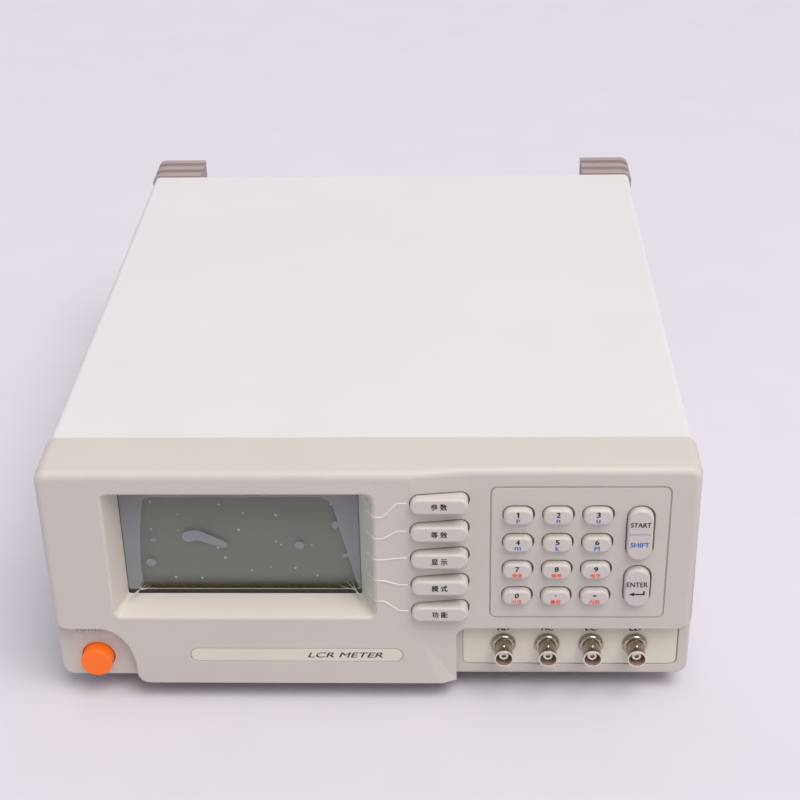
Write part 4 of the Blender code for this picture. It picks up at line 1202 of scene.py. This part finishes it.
def port_outline(x, z, inset):
    """The D shape of a nine-pin port, wider at the top and drawn in by inset."""
    wide, narrow, half, corner = 0.009 - inset, 0.008 - inset, 0.0045 - inset, 0.0016 - inset * 0.5
    outline = []
    for side, level, reach, start, end in ((1, 1, wide, 0, 90), (-1, 1, wide, 90, 180),
                                           (-1, -1, narrow, 190, 270), (1, -1, narrow, 270, 350)):
        at = (x + side * (reach - corner), z + level * (half - corner))
        outline += arc(*at, corner, corner, start, end, 6)
    return outline


def interface_port():
    """A nine-pin port: a flange with two holes, a D-shaped shell and an insulator with its pins."""
    x, z, end, tip = span_of("interface_port")
    face, floor = tip - 0.0065, tip - 0.0053
    flange = slab("flange", middle_box(x, z, 0.0155, 0.0063, 0.0012, 5), face, face + 0.001)
    holes = [slab(f"tool_hole_{side}", arc(x + side * 0.0125, z, 0.0015, 0.0015, 0, 345, 23), face - 0.001,
                  face + 0.002) for side in (-1, 1)]
    boolean(flange, holes)
    steps = ((face, 0), (tip - 0.0003, 0), (tip, 0.0002), (tip, 0.0006), (floor, 0.0006), (floor, 0.004))
    shell = loft("shell", [(depth, port_outline(x, z, inset)) for depth, inset in steps])
    rest = slab("rest", port_outline(x, z, 0.0009), face + 0.001, tip - 0.0045)
    back = box("back", (x - 0.0095, end, z - 0.0052), (x + 0.0095, face - 0.0001, z + 0.0052))
    pieces = [painted(flange, "zinc_steel"), painted(shell, "zinc_steel"), painted(rest, "black_plastic"),
              painted(back, "black_plastic")]
    profile = offsets(tip, [(0, -5), (0.5, -5), (0.5, -1.2), (0.3, -0.8), (0, -0.7)])
    pitch = 0.00274
    for count, up in ((5, 0.0014), (4, -0.0014)):
        for index in range(count):
            pin = turned("pin", profile, x + (index - (count - 1) / 2) * pitch, z + up, 16)
            pieces.append(painted(pin, "gilt"))
    place(smooth(merged("port_shell", pieces), 35), "zinc_steel", nodes=["interface_port"])


def earth_terminal():
    """A threaded earth post with a base washer and a fluted thumb nut."""
    x, z, end, tip = span_of("earth_terminal")
    face = tip - 0.015
    profile = [(0, end), (0.003, end)]
    profile += offsets(face, [(3, 0), (5.2, 0), (5.5, 0.3), (5.5, 1.7), (5.2, 2)])
    for turn in range(7):
        profile += offsets(face, [(3, 2.2 + turn * 0.5), (2.7, 2.45 + turn * 0.5)])
    profile += offsets(face, [(2.8, 6), (0, 6)])
    post = turned("post", profile, x, z, 40)
    flute = 0.18
    nut = fluted("nut", "earth_terminal", face, 26, [
        (5.8, 5.8, flute), (6.2, 6.4, flute), (6.2, 13.4, flute), (5.7, 14, flute), (3.2, 14.1, 0),
        (2.9, 14.7, 0), (2.4, 15, 0)])
    place(smooth(merged("earth_post", [post, nut]), 35), "nickel", nodes=["earth_terminal"])


def base_foot(node):
    """A round rubber foot, turned about an upright axis, with a screw well in its underside."""
    low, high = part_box(node)
    rim, top = (high.x - low.x) / 2 / MM, high.z / MM
    profile = [(0, 6), (3.4, 6), (3.4, 0.6), (4, 0), (rim - 1.6, 0), (rim - 0.5, 0.4), (rim, 1.4),
               (rim - 1.5, top - 0.4), (rim - 1.9, top), (0, top)]
    foot = turned(node + "_pad", offsets(0, profile), 0, 0, 40)
    foot.data.transform(Matrix.Rotation(math.pi / 2, 4, "X"))
    foot.data.transform(Matrix.Translation(((low.x + high.x) / 2, (low.y + high.y) / 2, 0)))
    place(smooth(foot, 40), "rubber", nodes=[node])


front_bezel()
labels()
leader_lines()
display()
protective_film()
keys()
power_button()
for number in SOCKETS:
    socket_shell(number)
    socket_core(number)
top_cover()
rear_panel()
power_inlet()
fuse_holder()
interface_port()
earth_terminal()
for hand, side_name in ((-1, "left"), (1, "right")):
    for height, level_name in ((1, "upper"), (-1, "lower")):
        rear_foot(f"rear_foot_{level_name}_{side_name}", hand, height)
for side_name in ("left", "right"):
    for end_name in ("front", "rear"):
        base_foot(f"base_foot_{end_name}_{side_name}")


# ---- Stage, light and camera ----

def stage():
    """A pale paper floor, and a sky that is brightest overhead with a band of light low down."""
    surface("floor_paper", (0.674, 0.639, 0.708), 0.85, tone=0.01, relief=0)
    painted(box("studio_floor", (-30, -30, -0.01), (30, 30, 0)), "floor_paper")
    world = bpy.data.worlds.new("studio")
    bpy.context.scene.world = world
    world.use_nodes = True
    nodes, links = world.node_tree.nodes, world.node_tree.links
    split = nodes.new("ShaderNodeSeparateXYZ")
    links.new(nodes.new("ShaderNodeTexCoord").outputs["Generated"], split.inputs["Vector"])
    fade = spread(nodes, links, split.outputs["Z"], (0.05, 0.75), (0.08, 0.65), "SMOOTHSTEP")
    behind = spread(nodes, links, split.outputs["Y"], (-0.6, 0), (0.26, 0.47))
    glow = spread(nodes, links, split.outputs["Z"], (0.12, 0.42), (0, 0))
    links.new(behind.outputs["Result"], glow.inputs["To Min"])
    total = nodes.new("ShaderNodeMath")
    total.operation = "ADD"
    links.new(fade.outputs["Result"], total.inputs[0])
    links.new(glow.outputs["Result"], total.inputs[1])
    background = nodes["Background"]
    background.inputs["Color"].default_value = (0.985, 0.975, 1, 1)
    links.new(total.outputs["Value"], background.inputs["Strength"])


def aimed_light(name, kind, direction, strength, colour):
    """A lamp that shines along a direction."""
    data = bpy.data.lights.new(name, kind)
    data.energy = strength
    data.color = colour
    lamp = link(name, data)
    lamp.rotation_euler = Vector(direction).to_track_quat("-Z", "Y").to_euler()
    return lamp


def lights():
    """A wide distant key light and a weak softbox, both from above the front right."""
    key = aimed_light("key", "SUN", (-0.44, 0.62, -1.4), 1.9, (1, 0.98, 0.95))
    key.data.angle = math.radians(40)
    at, target = Vector((0.7, -0.5, 1.35)), Vector((0, -0.12, 0.1))
    softbox = aimed_light("softbox", "AREA", target - at, 3, (1, 0.975, 0.945))
    softbox.location = at
    softbox.data.shape = "RECTANGLE"
    softbox.data.size = softbox.data.size_y = 0.9


def camera():
    """The camera at the photograph's place and angle."""
    data = bpy.data.cameras.new("camera")
    data.lens = 74.12
    data.sensor_width = 36
    data.clip_start, data.clip_end = 0.05, 30
    body = link("camera", data)
    right = Vector((0.99947, 0.02678, -0.0183))
    down = Vector((-0.00258, -0.49681, -0.86785))
    forward = Vector((-0.03233, 0.86744, -0.49648))
    rotation = Matrix((right, -down, -forward)).transposed()
    body.matrix_world = Matrix.Translation((0.0457, -0.947, 0.6123)) @ rotation.to_4x4()
    bpy.context.scene.camera = body


stage()
lights()
camera()
bpy.context.scene.view_settings.view_transform = "Standard"

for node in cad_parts.values():
    if not node.hide_render:
        slot_name = node.data.materials[0].name.split(".")[0]
        node.data.materials.clear()
        node.data.materials.append(SURFACES[slot_name])
